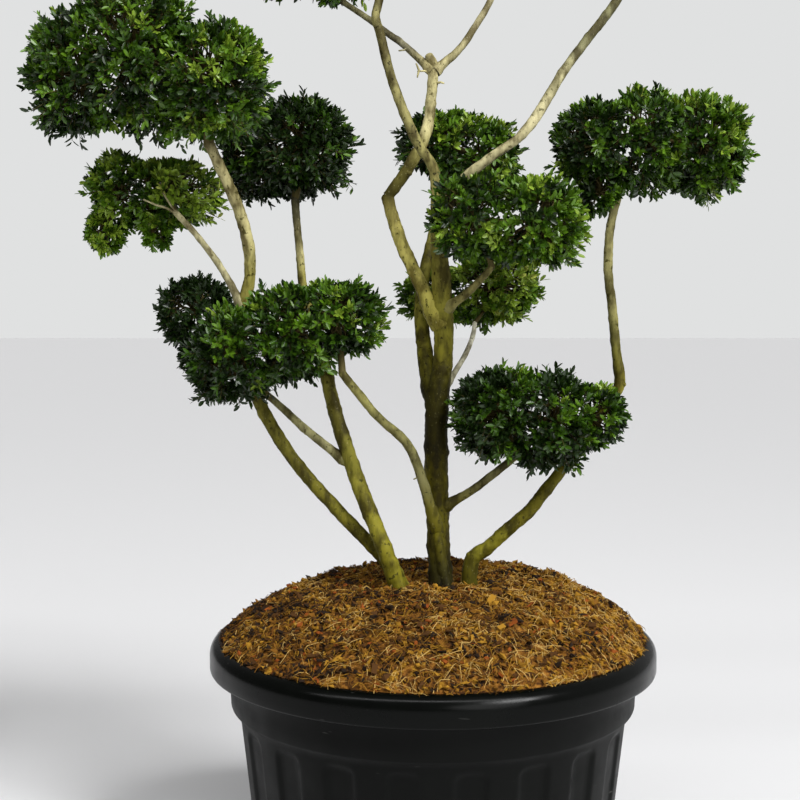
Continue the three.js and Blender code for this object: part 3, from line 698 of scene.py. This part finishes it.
def bark_relief(path, radius, walked, random):
    """Radius round each ring: ovality, swellings where old twigs sat, bumps and small scars."""
    angles = 2 * np.pi * np.arange(LIMB_SIDES) / LIMB_SIDES
    relief = np.ones((len(path), LIMB_SIDES))
    turn = 2 * np.pi * random.random()
    relief += OVALITY * np.cos(2 * (angles[None, :] + turn + walked[:, None] / OVALITY_TURN))
    nodes = np.arange(NODE_EVERY * (NODE_START + NODE_START * random.random()), walked[-1], NODE_EVERY)
    nodes = nodes + random.normal(0, NODE_JITTER * NODE_EVERY, len(nodes))
    for place, side, size in zip(nodes, 2 * np.pi * random.random(len(nodes)), random.random(len(nodes))):
        ring = np.exp(-(((walked - place) / NODE_LENGTH) ** 2))[:, None]
        bud = np.exp(BUD_SHARPNESS * (np.cos(angles - side) - 1))[None, :]
        relief += ring * (NODE_RING + (NODE_BUD[0] + NODE_BUD[1] * size) * bud)
    level_ring = np.stack([np.cos(angles), np.sin(angles), 0 * angles], 1)
    places = (path[:, None] + radius[:, None, None] * level_ring).reshape(-1, 3)
    bumps = sum(height * waves(places, length) for height, length in BARK_WAVES)
    return radius[:, None] * (relief + bumps.reshape(relief.shape))


def bark_tube(path, radius, walked, random, helper=(0.0, 1.0, 0.0)):
    return tubes(path[None], bark_relief(path, radius, walked, random)[None], LIMB_SIDES, helper)


def collared(path, radius, parent):
    """A branch swells where it leaves its parent."""
    parent_path, parent_radius, _ = limb_axis(parent, PARENT_SPACING)
    apart = np.linalg.norm(path[:, None, :] - parent_path[None, :, :], axis=2) - parent_radius[None, :]
    clear = np.maximum(apart.min(axis=1), 0)
    return radius * (1 + COLLAR * np.exp(-clear / (COLLAR_REACH * radius)))


def rooted(path, radius, walked, parent):
    """A branch whose foot lies near its parent's skin starts at the parent's axis."""
    axis = limb_axis(parent, PARENT_SPACING)[0]
    gaps = np.linalg.norm(axis - path[0], axis=1)
    if gaps.min() < ROOT_GAP:
        return path, radius, walked
    root = axis[gaps.argmin()]
    radius = np.concatenate([ROOT_SHARE * radius[:1], radius])
    return np.vstack([root, path]), radius, np.concatenate([walked[:1] - gaps.min(), walked])


def rounded_tip(path, radius):
    """Adds a domed end to a path."""
    along = unit(path[-1] - path[-2])
    steps = np.array(DOME_STEPS)
    extra = path[-1] + along * (steps * DOME_LENGTH * radius[-1])[:, None]
    dome = radius[-1] * np.sqrt(np.maximum(1 - steps**2, DOME_LEAST**2))
    return np.vstack([path, extra]), np.concatenate([radius, dome])


def make_limb(name, material, random):
    parent = LIMBS[name][0]
    path, radius, walked = limb_axis(name, RING_SPACING)
    if parent and name != CONTINUED_LIMB:
        radius = collared(path, radius, parent)
        path, radius, walked = rooted(path, radius, walked, parent)
    path, radius = rounded_tip(path, radius)
    walked = np.concatenate([walked, walked[-1] + 1 + np.arange(len(path) - len(walked))])
    parts = [bark_tube(path, radius, walked, random)]
    if name == "trunk":
        parts.append(bark_tube(*limb_path(TRUNK_RIDGE, RIDGE_FLARE, RING_SPACING), random))
    parts += [stub(*shape, random) for owner, *shape in STUBS if owner == name]
    for owner, points, foot_radius in DEAD_TWIGS:
        if owner == name:
            twig = np.array([points], dtype=float)
            taper = foot_radius * np.linspace(1, DEAD_TWIG_TAPER, len(points))
            parts.append(tubes(twig, taper[None], DEAD_TWIG_SIDES, (0.3, 1.0, 0.2), capped=True))
    vertices, faces = joined(parts)
    make_piece(f"bark_{name}", vertices, faces, [material], "bark", [name])


def stub(foot, direction, length, foot_radius, end_radius, random):
    """A healed cut: a short swollen stump with a domed end."""
    direction = unit(np.array(direction, dtype=float))
    shares = np.linspace(0, 1, STUB_RINGS)
    path = np.array(foot, dtype=float) + direction * (shares * length)[:, None]
    radius = foot_radius + (end_radius - foot_radius) * shares + STUB_SWELLING * np.sin(np.pi * shares)
    path, radius = rounded_tip(path, radius)
    return bark_tube(path, radius, np.linspace(0, length, len(path)), random, (0.2, 1.0, 0.1))


# Foliage: the source's rule in arrays


def lobe_radius(lobe, directions):
    return np.sum(np.abs(directions / lobe[3:]) ** LOBE_POWER, axis=-1, keepdims=True) ** (-1 / LOBE_POWER)


def lobe_share(lobe, points):
    offset = points - lobe[:3]
    distance = np.linalg.norm(offset, axis=-1, keepdims=True)
    return (distance / lobe_radius(lobe, offset / np.maximum(distance, 1e-6)))[:, 0]


def shows(points, lobe, lobes, share):
    """Which points lie beyond that share of each of the pad's other lobes."""
    return np.all([lobe_share(other, points) > share for other in lobes if other is not lobe], axis=0)


def on_lobe(lobe, directions, share):
    return lobe[:3] + directions * lobe_radius(lobe, directions) * share


def turned(directions, angle, random):
    sideways = square_to(directions, random.random(directions.shape) - 0.5)
    return unit(directions + sideways * np.tan(angle))


def fan_directions(count, random):
    start = 2 * math.pi * random.random()
    place = np.arange(count)
    height = 1 - 2 * (place + 0.5) / count
    width = np.sqrt(1 - height**2)
    angle = start + place * GOLDEN_ANGLE
    fan = np.stack([width * np.cos(angle), width * np.sin(angle), height], axis=1)
    return turned(fan, FAN_TURN * random.random((count, 1)), random)


def pad_space(name, lobes, limb_points, limb_radii):
    """Which points are free: clear of every limb and outside every other pad."""
    others = [np.array(lobe, float) for other, pad in PADS.items() if other != name for lobe in pad[2]]
    low = np.min([lobe[:3] - PAD_MARGIN * lobe[3:] for lobe in lobes], axis=0)
    high = np.max([lobe[:3] + PAD_MARGIN * lobe[3:] for lobe in lobes], axis=0)
    near = np.all((limb_points > low) & (limb_points < high), axis=1)
    near_points, near_radii = limb_points[near], limb_radii[near]

    def is_free(points, clearance):
        free = np.ones(len(points), dtype=bool)
        for lobe in others:
            free &= lobe_share(lobe, points) >= 1
        for place, radius in zip(near_points, near_radii):
            free &= np.sum((points - place) ** 2, axis=1) > (radius + clearance) ** 2
        return free

    return is_free


def skin_wave(points):
    """Swellings and hollows of a clipped pad's skin."""
    total = sum(weight * waves(points, length) for length, weight in SKIN_WAVES)
    return np.clip(total - SKIN_LEVEL, SKIN_LOWEST, SKIN_HIGHEST)[:, None]


def grow_lobe(lobe, own_lobes, is_free, random):
    """One lobe's twigs as (starts, ends) for each level of forks. The last level is its shoots."""
    count = max(LEAST_TWIGS, round(TWIGS_PER_LOBE * (np.prod(lobe[3:]) ** (1 / 3) / LOBE_SIZE) ** 2))
    directions = fan_directions(count, random)
    heads = np.repeat(lobe[None, :3], count, axis=0)
    mothers = np.zeros(count, dtype=int)
    levels = []
    for level, share in enumerate(FORK_SHARES + [TWIG_REACH]):
        is_last = level == len(FORK_SHARES)
        reach = share + REACH_JITTER * np.clip(random.normal(size=(len(directions), 1)), *REACH_LIMITS)
        if is_last:
            is_loose = directions[:, 2:] < LOOSE_SLOPE
            strays = random.random((len(directions), 1)) < STRAY_SHARE + LOOSE_STRAYS * is_loose
            swelling = SKIN_WAVE * np.where(is_loose, LOOSE_WAVE, 1) * skin_wave(on_lobe(lobe, directions, 1))
            jitter = np.clip(random.normal(size=(len(directions), 1)), *LOOSE_LIMITS)
            swelling += LOOSE_JITTER * is_loose * jitter
            reach = reach + swelling + STRAY_REACH * strays
        ends = on_lobe(lobe, directions, reach)
        keep = is_free(ends, LIMB_CLEARANCE)
        if is_last:
            keep &= shows(ends, lobe, own_lobes, HIDDEN_SHARE)
        kept = np.flatnonzero(keep)
        levels.append((heads[kept], ends[kept], mothers[kept]))
        if is_last:
            return carrying(levels)
        directions = directions[kept]
        aside = turned(directions, FORK_TURNS[level], random)
        opposite = unit(2 * dot(directions, aside) * directions - aside)
        heads = np.concatenate([ends[kept], ends[kept]])
        directions = np.concatenate([aside, opposite])
        mothers = np.tile(np.arange(len(kept)), 2)


def carrying(levels):
    """Leaves out the twigs that carry no shoot."""
    result = []
    wanted = np.arange(len(levels[-1][0]))
    for starts, ends, mothers in reversed(levels):
        result.append((starts[wanted], ends[wanted]))
        wanted = np.unique(mothers[wanted])
    return result[::-1]


def shoot_leaves(starts, ends, random):
    """Leaves set round each shoot: roots, directions, normals, lengths and the shoot of each."""
    count = len(starts)
    axis = unit(ends - starts)
    across = unit(np.cross(axis, random.normal(size=(count, 3))))
    other = np.cross(axis, across)
    order = np.arange(LEAVES_PER_SHOOT)
    last = LEAVES_PER_SHOOT - 1
    share = 1 - ((last - order) / LEAVES_PER_SHOOT) ** LEAF_CROWDING
    share = share + LEAF_PLACE_JITTER * random.normal(size=(count, LEAVES_PER_SHOOT))
    spread = FOOT_SPREAD + (TIP_SPREAD - FOOT_SPREAD) * (order / last) ** SPREAD_CURVE
    spread = spread + SPREAD_JITTER * random.normal(size=(count, LEAVES_PER_SHOOT))
    angle = 2 * np.pi * random.random((count, 1)) + order * GOLDEN_ANGLE
    radial = across[:, None] * np.cos(angle)[..., None] + other[:, None] * np.sin(angle)[..., None]
    ahead, aside = np.cos(spread)[..., None], np.sin(spread)[..., None]
    direction = axis[:, None] * ahead + radial * aside
    lean = SHOOT_LEAN * random.normal(size=(count, 1, 3)) + np.array([0, 0, SHOOT_RISE])
    direction = unit(direction + lean + LEAF_JITTER * random.normal(size=direction.shape))
    normal = axis[:, None] * aside - radial * ahead
    normal = normal + np.array([0, 0, LEAF_UPTURN]) + LEAF_TWIST * random.normal(size=normal.shape)
    normal = square_to(direction, normal)
    roots = starts[:, None] + (ends - starts)[:, None] * share[..., None]
    length = LEAF_LENGTH * drawn(LEAF_LENGTH_SPREAD, random, (count, LEAVES_PER_SHOOT))
    length = length * (LEAF_FOOT_SHARE + (LEAF_TIP_SHARE - LEAF_FOOT_SHARE) * order / last)
    shoot = np.repeat(np.arange(count), LEAVES_PER_SHOOT)
    return roots.reshape(-1, 3), direction.reshape(-1, 3), normal.reshape(-1, 3), length.ravel(), shoot


def leaf_mesh(roots, directions, normals, lengths, random):
    """Folded leaves of four faces in their own outline."""
    across = np.cross(normals, directions)
    half = 0.5 * LEAF_WIDTH_SHARE * lengths * drawn(LEAF_WIDTH_SPREAD, random, len(lengths))
    points = []
    for along, side in LEAF_OUTLINE:
        lift = LEAF_FOLD * abs(side) * half - LEAF_DROOP * along**2 * lengths
        points.append(roots + directions * (along * lengths)[:, None] + across * (side * half)[:, None]
                      + normals * lift[:, None])
    vertices = np.stack(points, axis=1).reshape(-1, 3)
    return vertices, copied_faces(LEAF_FACES, len(LEAF_OUTLINE), len(roots))


def deal_colours(ends, lobes, shade, random):
    """A colour for each shoot, with painted light and shade: lighter at the top, at the right and on
    swellings, darker in a pad in shade.
    """
    def share(k):
        low = min(lobe[k] - lobe[k + 3] for lobe in lobes)
        high = max(lobe[k] + lobe[k + 3] for lobe in lobes)
        return (ends[:, k] - low) / (high - low)

    # Painted light from above and from the right, and painted shade by how deep the pad lies in shade
    light = BASE_LIGHT + PAINTED_TOP_LIGHT * (share(2) - 0.5) + PAINTED_SIDE_LIGHT * (share(0) - 0.5) - PAINTED_SHADE_DEPTH * shade
    # Painted light on the pad's swellings, beside a random tone
    light = light + TONE_JITTER * random.normal(size=len(ends)) + PAINTED_SWELLING_LIGHT * skin_wave(ends)[:, 0]
    return np.digitize(light + TONE_WAVE * waves(ends, TONE_LENGTH), TONE_STEPS)


def make_pad(name, seed, leaf_materials, twig_material, limb_points, limb_radii):
    random = np.random.default_rng(seed)
    bough, shade, lobes = PADS[name]
    lobes = [np.array(lobe, dtype=float) for lobe in lobes]
    is_free = pad_space(name, lobes, limb_points, limb_radii)
    *start, tip_radius = LIMBS[bough][-1][-1]
    start = np.array(start, dtype=float)
    stem_radii = np.linspace(tip_radius, 0.5 * tip_radius, STEM_STEPS)[None]
    twig_parts, leaf_parts, slots = [], [], []
    for lobe in lobes:
        bend = (start + lobe[:3]) / 2 + random.normal(0, STEM_BEND, 3)
        stem = catmull_rom(np.array([start, bend, lobe[:3]]), np.linspace(0, 1, STEM_STEPS))
        twig_parts.append(tubes(stem[None], stem_radii, STEM_SIDES, (0.1, 1.0, 0.1)))
        start = lobe[:3]
        levels = grow_lobe(lobe, lobes, is_free, random)
        for (starts, tips), first, last in zip(levels, TWIG_RADII, TWIG_RADII[1:]):
            twig_parts.append(segment_tubes(starts, tips, first, last))
        heads, ends = levels[-1]
        roots, directions, normals, lengths, shoot = shoot_leaves(heads, ends, random)
        tips = roots + directions * lengths[:, None]
        keep = is_free(tips, LIMB_CLEARANCE) & is_free((roots + tips) / 2, LIMB_CLEARANCE)
        keep &= shows(tips, lobe, lobes, HIDDEN_LEAF_SHARE)
        leaf_parts.append(leaf_mesh(roots[keep], directions[keep], normals[keep], lengths[keep], random))
        colours = deal_colours(ends, lobes, shade, random)
        slots.append(np.repeat(colours[shoot[keep]], len(LEAF_FACES)))
    node = f"foliage_{name}"
    make_piece(f"twigs_{name}", *joined(twig_parts), [twig_material], "bark", [node])
    slots = np.concatenate(slots)
    make_piece(f"leaves_{name}", *joined(leaf_parts), leaf_materials, "foliage", [node], slots, False)


# Pot


def outline(radius, height, offsets):
    """Points of an outline, each written as what it lies beyond a radius and above a height."""
    return [[radius + out, height + up] for out, up in offsets]


def pot_profile():
    """Outline of the pot's wall from the middle of its underside, up the outside and down the inside."""
    foot = outline(FOOT_RADIUS, 0, [(-40, 0), (-6, 0), (-2, 1.5), (0, 5), (1, 10), (3, 22)])
    low, high = (FOOT_RADIUS + 4.5, 28), (BODY_TOP_RADIUS - 2, STEP_HEIGHT - 11)
    heights = [28, 30, 32, 34, 37, 41, 46, 52, 58, 66, *range(80, 280, 14), *range(284, 330, 3)]
    wall = [[low[0] + (high[0] - low[0]) * (z - low[1]) / (high[1] - low[1]), z] for z in heights]
    step = outline(BODY_TOP_RADIUS, STEP_HEIGHT, [(-1, -7.5), (0.5, -3.5), (3, -1.2), (8, -0.4)])
    step += outline(BAND_RADIUS, STEP_HEIGHT, [(-3, 0), (-1, 1.5), (0, 4.5)])
    band = outline(BAND_RADIUS, 0, [(0.6, 360), (1, 380), (1.4, 400), (2, 415), (8, 427)])
    skirt = outline(LIP_RADIUS, 0, [(-5.5, 427), (-5, 424)])
    turn_up = [(-5, 3), (-4, 0.6), (-2.5, 0), (-0.8, 0.8), (0, 3.5), (0, 14)]
    skirt += outline(LIP_RADIUS, LIP_SKIRT_BOTTOM, turn_up)
    roll = [(1 - math.cos(t), 1 - math.sin(t)) for t in np.linspace(0, math.pi / 2, 11)]
    shoulder = [[LIP_RADIUS - LIP_ROLL * x * LIP_SQUASH, POT_HEIGHT - LIP_ROLL * z] for x, z in roll]
    inside = outline(shoulder[-1][0], POT_HEIGHT, [(-2, -0.6), (-4, -2.5), (-6, -5)])
    inside += outline(INNER_TOP_RADIUS, INNER_TOP_HEIGHT, [(6, 6), (0, 0), (-1, -19), (-4, -34)])
    return np.array([[0, 0], *foot, *wall, *step, *band, *skirt, *shoulder, *inside], dtype=float)


def panel_inset(angles, heights, radii):
    """Depth of the recessed panels at each angle and height: flat, with soft edges and arched tops."""
    cell = 2 * np.pi / PANELS
    offset = (angles % cell) - cell / 2
    sideways = np.abs(offset)[None, :] * radii[:, None]
    half = PANEL_HALF_ANGLE * radii[:, None]
    corner = half * PANEL_CORNER
    over = np.maximum(heights[:, None] - (PANEL_TOP - corner), 0)
    beside = np.maximum(sideways - (half - corner), 0)
    top_edge = np.where(over > 0, corner - np.hypot(over, beside), half - sideways)
    bottom_edge = heights[:, None] - PANEL_BOTTOM
    edge = np.minimum(top_edge, bottom_edge)
    share = np.clip(edge / PANEL_EDGE, 0, 1)
    return PANEL_DEPTH * share * share * (3 - 2 * share)


def make_pot(material):
    profile = pot_profile()
    edge = math.degrees(PANEL_HALF_ANGLE)
    # Degrees from a panel's middle, close together at its soft edge
    offsets = [-9, -7.2, -6, -edge, -edge + 0.5, -edge + 1, -edge + 1.5, -edge + 2.1, -1.6, 0]
    offsets += [-x for x in reversed(offsets[1:-1])]
    cell = 360 / PANELS
    angles = np.radians(np.sort([k * cell + cell / 2 + x for k in range(PANELS) for x in offsets]))
    radii = profile[:, 0][:, None] - panel_inset(angles, profile[:, 1], profile[:, 0])
    radii[0] = 0
    heights = np.broadcast_to(profile[:, 1:], radii.shape)
    vertices = np.stack([radii * np.cos(angles), radii * np.sin(angles), heights], axis=2).reshape(-1, 3)
    make_piece("pot_shell", vertices, ring_faces(*radii.shape), [material], "pot_plastic", ["pot"])


# Mulch

MULCH_COLOURS = ["1c0f02", "432806", "7d3f0d", "6d470c", "8e6718", "b39353"]
MULCH_PATCH = 0.58
MULCH_PATCH_LENGTHS = [44, 17]
# Painted light: how much lighter the mulch's colours get towards the right, where the light comes from
MULCH_PAINTED_SIDE_LIGHT = 0.22
MOST_CHANCE = 0.98
# Clumps: height and length in mm, and the level of noise that they come from
MULCH_CLUMPS = [(10, 46, 0), (9, 19, 4)]
CLUMP_SLOPE, CLUMP_LEAST, CLUMP_MOST = 1.6, 0.25, 0.8

BED_RINGS, BED_SIDES = 60, 128
BED_RADIUS, BED_SKIRT_RADIUS = INNER_TOP_RADIUS + 22, INNER_TOP_RADIUS - 2
BED_DEPTH = 3
BED_FOOT = 418.0

OCTAHEDRON = (
    np.array([[1, 0, 0], [-1, 0, 0], [0, 1, 0], [0, -1, 0], [0, 0, 1], [0, 0, -1]], dtype=float),
    [[0, 2, 4], [2, 1, 4], [1, 3, 4], [3, 0, 4], [2, 0, 5], [1, 2, 5], [3, 1, 5], [0, 3, 5]],
)
BOX = (
    np.array([[x, y, z] for z in (-1, 1) for y in (-1, 1) for x in (-1, 1)], dtype=float),
    [[0, 2, 3], [0, 3, 1], [4, 5, 7], [4, 7, 6], [0, 1, 5], [0, 5, 4],
     [2, 6, 7], [2, 7, 3], [0, 4, 6], [0, 6, 2], [1, 3, 7], [1, 7, 5]],
)
# Loose bits, in mm: form, number, reach, lift and its jitter, then as least and extra the length, the width
# as a share of it and the thickness, then the power of the length's draw, tilt, jitter and colour shares
MULCH_BITS = {
    "crumbs": (OCTAHEDRON, 9000, 338, (0, 2.5), (3.2, 5.2), (0.4, 0.4), (1.6, 2.4), 2, 0.6, 0.35,
               [0.2, 0.27, 0.03, 0.3, 0.18, 0.02]),
    "chips": (BOX, 560, 318, (2, 1.5), (3.8, 5), (0.35, 0.4), (0.8, 1.2), 4, 0.35, 0.12,
              [0.13, 0.33, 0.19, 0.26, 0.08, 0.01]),
}
FIBRES = 7400
FIBRE_REACH, FIBRE_LIMIT = 340, 346
FIBRE_TILT = 0.25
FIBRE_LENGTH = (9, 34)
FIBRE_BOW = 0.35
FIBRE_LIFT = (3, 2.5)
FIBRE_ARCH = (1.1, 3)
FIBRE_JITTER = 1.5
FIBRE_STEPS = [-0.5, -0.18, 0.18, 0.5]
FIBRE_THICKNESS = (0.28, 0.36)
FIBRE_TAPER = [0.7, 1.0, 0.9, 0.4]
FIBRE_SIDES = 3
FIBRE_SHARES = [0.04, 0.12, 0.01, 0.28, 0.32, 0.23]


def mulch_height(x, y):
    reach = np.minimum(np.hypot(x, y), MULCH_EDGE_RADIUS)
    rise = MULCH_RISE - MULCH_SETTLING + MULCH_SLOPE * y + MULCH_LEAN * x - MULCH_FALL * reach
    return MULCH_EDGE_HEIGHT + (1 - (reach / MULCH_EDGE_RADIUS) ** MULCH_FULLNESS) * rise


def rough_height(x, y):
    """The mound with its clumps, which are lower near the pot's rim."""
    clumps = 0
    for height, length, level in MULCH_CLUMPS:
        places = [Vector((px / length, py / length, level)) for px, py in zip(x, y)]
        clumps = clumps + height * np.array([noise.noise(place) for place in places])
    share = np.hypot(x, y) / MULCH_EDGE_RADIUS
    clumps = clumps * np.clip(CLUMP_SLOPE * (1 - share) + CLUMP_LEAST, CLUMP_LEAST, CLUMP_MOST)
    return mulch_height(x, y) + clumps


def mulch_slots(places, shares, random):
    """A colour for each bit of mulch, dealt out in darker and lighter patches, and lighter to the right as
    painted light.
    """
    patches = sum(waves(places, length) for length in MULCH_PATCH_LENGTHS)
    chance = random.random(len(places)) + MULCH_PATCH * patches
    # Painted light: lighter towards the right
    chance = chance + MULCH_PAINTED_SIDE_LIGHT * places[:, 0] / MULCH_EDGE_RADIUS
    return np.searchsorted(np.cumsum(shares)[:-1], np.minimum(chance, MOST_CHANCE))


def mound_places(count, random, reach):
    """Random places on the mound, even over its area."""
    radius = reach * np.sqrt(random.random(count))
    angle = 2 * np.pi * random.random(count)
    x, y = radius * np.cos(angle), radius * np.sin(angle)
    return np.stack([x, y, rough_height(x, y)], axis=1)


def random_turns(count, random, tilt):
    """Frames lying on the mound, turned at random and tilted a little."""
    angle = 2 * np.pi * random.random(count)
    first = unit(np.stack([np.cos(angle), np.sin(angle), tilt * random.normal(size=count)], 1))
    up = np.stack([tilt * random.normal(size=count), tilt * random.normal(size=count), np.ones(count)], 1)
    third = square_to(first, up)
    return first, np.cross(third, first), third


def lumps(places, frames, sizes, form, jitter, random):
    """Copies of a small form, each in its own frame and size, with every corner nudged."""
    corners, faces = form
    count = len(places)
    local = corners[None] * (1 + jitter * random.normal(size=(count, *corners.shape))) * sizes[:, None, :]
    spun = sum(local[..., k:k + 1] * frames[k][:, None, :] for k in range(3))
    vertices = (places[:, None, :] + spun).reshape(-1, 3)
    return vertices, copied_faces(faces, len(corners), count)


def make_mulch(bed_material, bit_materials):
    random = np.random.default_rng(MULCH_SEED)
    angle = 2 * np.pi * np.arange(BED_SIDES) / BED_SIDES
    radius = np.linspace(0, BED_RADIUS, BED_RINGS)[:, None]
    x, y = (radius * np.cos(angle)).ravel(), (radius * np.sin(angle)).ravel()
    bed = np.stack([x, y, rough_height(x, y) - BED_DEPTH], 1)
    skirt = [BED_SKIRT_RADIUS * np.cos(angle), BED_SKIRT_RADIUS * np.sin(angle), np.full(BED_SIDES, BED_FOOT)]
    vertices = np.vstack([bed, np.stack(skirt, 1)])
    faces = ring_faces(BED_RINGS + 1, BED_SIDES)[:, [0, 2, 1]]
    make_piece("mulch_bed", vertices, faces, [bed_material], "mulch", ["mulch_mound"])

    for name, bits in MULCH_BITS.items():
        form, count, reach, (lift, lift_jitter), lengths, widths, heights, power, tilt, jitter, shares = bits
        places = mound_places(count, random, reach)
        places[:, 2] += lift + lift_jitter * random.normal(size=count)
        length = drawn(lengths, random, count, power)
        sizes = np.stack([length, length * drawn(widths, random, count), drawn(heights, random, count)], 1)
        vertices, faces = lumps(places, random_turns(count, random, tilt), sizes, form, jitter, random)
        slots = np.repeat(mulch_slots(places, shares, random), len(form[1]))
        make_piece(f"mulch_{name}", vertices, faces, bit_materials, "mulch", ["mulch_mound"], slots, False)

    places = mound_places(FIBRES, random, FIBRE_REACH)
    heading, sideways, _ = random_turns(FIBRES, random, FIBRE_TILT)
    length = drawn(FIBRE_LENGTH, random, FIBRES, 2)
    bow = length * FIBRE_BOW * random.normal(size=FIBRES)
    lift = drawn(FIBRE_LIFT, random, FIBRES)
    paths = []
    for share in FIBRE_STEPS:
        arc = bow * (FIBRE_STEPS[-1] ** 2 - share**2)
        point = places + heading * (share * length)[:, None] + sideways * arc[:, None]
        ground = rough_height(point[:, 0], point[:, 1])
        rise = lift * (FIBRE_ARCH[0] - FIBRE_ARCH[1] * share**2)
        point[:, 2] = ground + rise + FIBRE_JITTER * random.normal(size=FIBRES)
        paths.append(point)
    paths = np.stack(paths, axis=1)
    keep = np.hypot(paths[..., 0], paths[..., 1]).max(axis=1) < FIBRE_LIMIT
    thickness = drawn(FIBRE_THICKNESS, random, FIBRES)[:, None] * np.array([FIBRE_TAPER])
    vertices, faces = tubes(paths[keep], thickness[keep], FIBRE_SIDES, (0.05, 0.1, 1.0))
    slots = mulch_slots(places[keep], FIBRE_SHARES, random)
    slots = np.tile(np.repeat(slots, (len(FIBRE_STEPS) - 1) * FIBRE_SIDES), 2)
    make_piece("mulch_fibres", vertices, faces, bit_materials, "mulch", ["mulch_mound"], slots, False)


# Camera, light and floor


def set_stage():
    camera = add_object("camera", bpy.data.cameras.new("camera"))
    camera.data.lens = CAMERA_LENS
    camera.data.sensor_width = SENSOR_WIDTH
    camera.location = CAMERA_PLACE
    camera.rotation_euler = (CAMERA_PITCH, 0, 0)
    bpy.context.scene.camera = camera
    bpy.context.scene.view_settings.view_transform = "Standard"

    world = bpy.data.worlds.new("studio")
    world.use_nodes = True
    tree = world.node_tree
    seen = tree.nodes["Background"]
    seen.inputs["Color"].default_value = linear(BACKDROP_COLOUR)
    direction = add_node(tree, "TexCoord", "Generated", {})
    rightward = add_node(tree, "SeparateXYZ", "X", {"Vector": direction})
    strength = add_range(tree, rightward, -1, 1, *SOFT_LIGHT)
    soft = add_node(tree, "Background", "Background", {"Color": (1, 1, 1, 1), "Strength": strength})
    is_seen = add_node(tree, "LightPath", "Is Camera Ray", {})
    surface = add_node(tree, "MixShader", "Shader", {0: is_seen, 1: soft, 2: seen.outputs["Background"]})
    tree.links.new(surface, tree.nodes["World Output"].inputs["Surface"])
    bpy.context.scene.world = world

    for name, strength, softness, pitch, turn in SUNS:
        light = add_object(name, bpy.data.lights.new(name, "SUN"))
        light.data.energy = strength
        light.data.angle = math.radians(softness)
        light.rotation_euler = (math.radians(pitch), 0, math.radians(turn))

    strip = add_object("strip", bpy.data.lights.new("strip", "AREA"))
    strip.data.shape = "RECTANGLE"
    strip.data.size, strip.data.size_y = STRIP_SIZE
    strip.data.energy = STRIP_POWER
    strip.location = STRIP_PLACE
    strip.rotation_euler = (STRIP_PITCH, 0, 0)
    strip.visible_camera = False

    mesh = bpy.data.meshes.new("floor")
    corners = [(x * FLOOR_REACH, y * FLOOR_REACH, 0) for x, y in ((-1, -1), (1, -1), (1, 1), (-1, 1))]
    mesh.from_pydata(corners, [], [(0, 1, 2, 3)])
    mesh.materials.append(plain_material("floor", FLOOR_COLOUR, FLOOR_FINISH))
    floor = add_object("floor", mesh)


def main():
    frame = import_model()
    set_stage()

    barks = {name: bark_material(f"bark_{name}", *look) for name, look in BARKS.items()}
    twig_bark = plain_material("twig_bark", "4d4522", TWIG_FINISH)
    leaves = [plain_material(name, colour, LEAF_FINISH) for name, colour in LEAF_COLOURS.items()]
    random = np.random.default_rng(BARK_SEED)
    for name, (_, _, kind, _) in LIMBS.items():
        make_limb(name, barks[kind], random)

    samples = limb_samples()
    for seed, name in enumerate(PADS, FIRST_PAD_SEED):
        make_pad(name, seed, leaves, twig_bark, *samples)

    make_pot(pot_material())
    bits = [plain_material(f"mulch_{k}", colour, MULCH_FINISH) for k, colour in enumerate(MULCH_COLOURS)]
    make_mulch(loose_material("mulch_bed", *MULCH_BED_LOOK), bits)
    soil = frame["nodes"]["growing_medium"]
    soil.material_slots[0].material = loose_material("growing_medium", *SOIL_LOOK)


main()
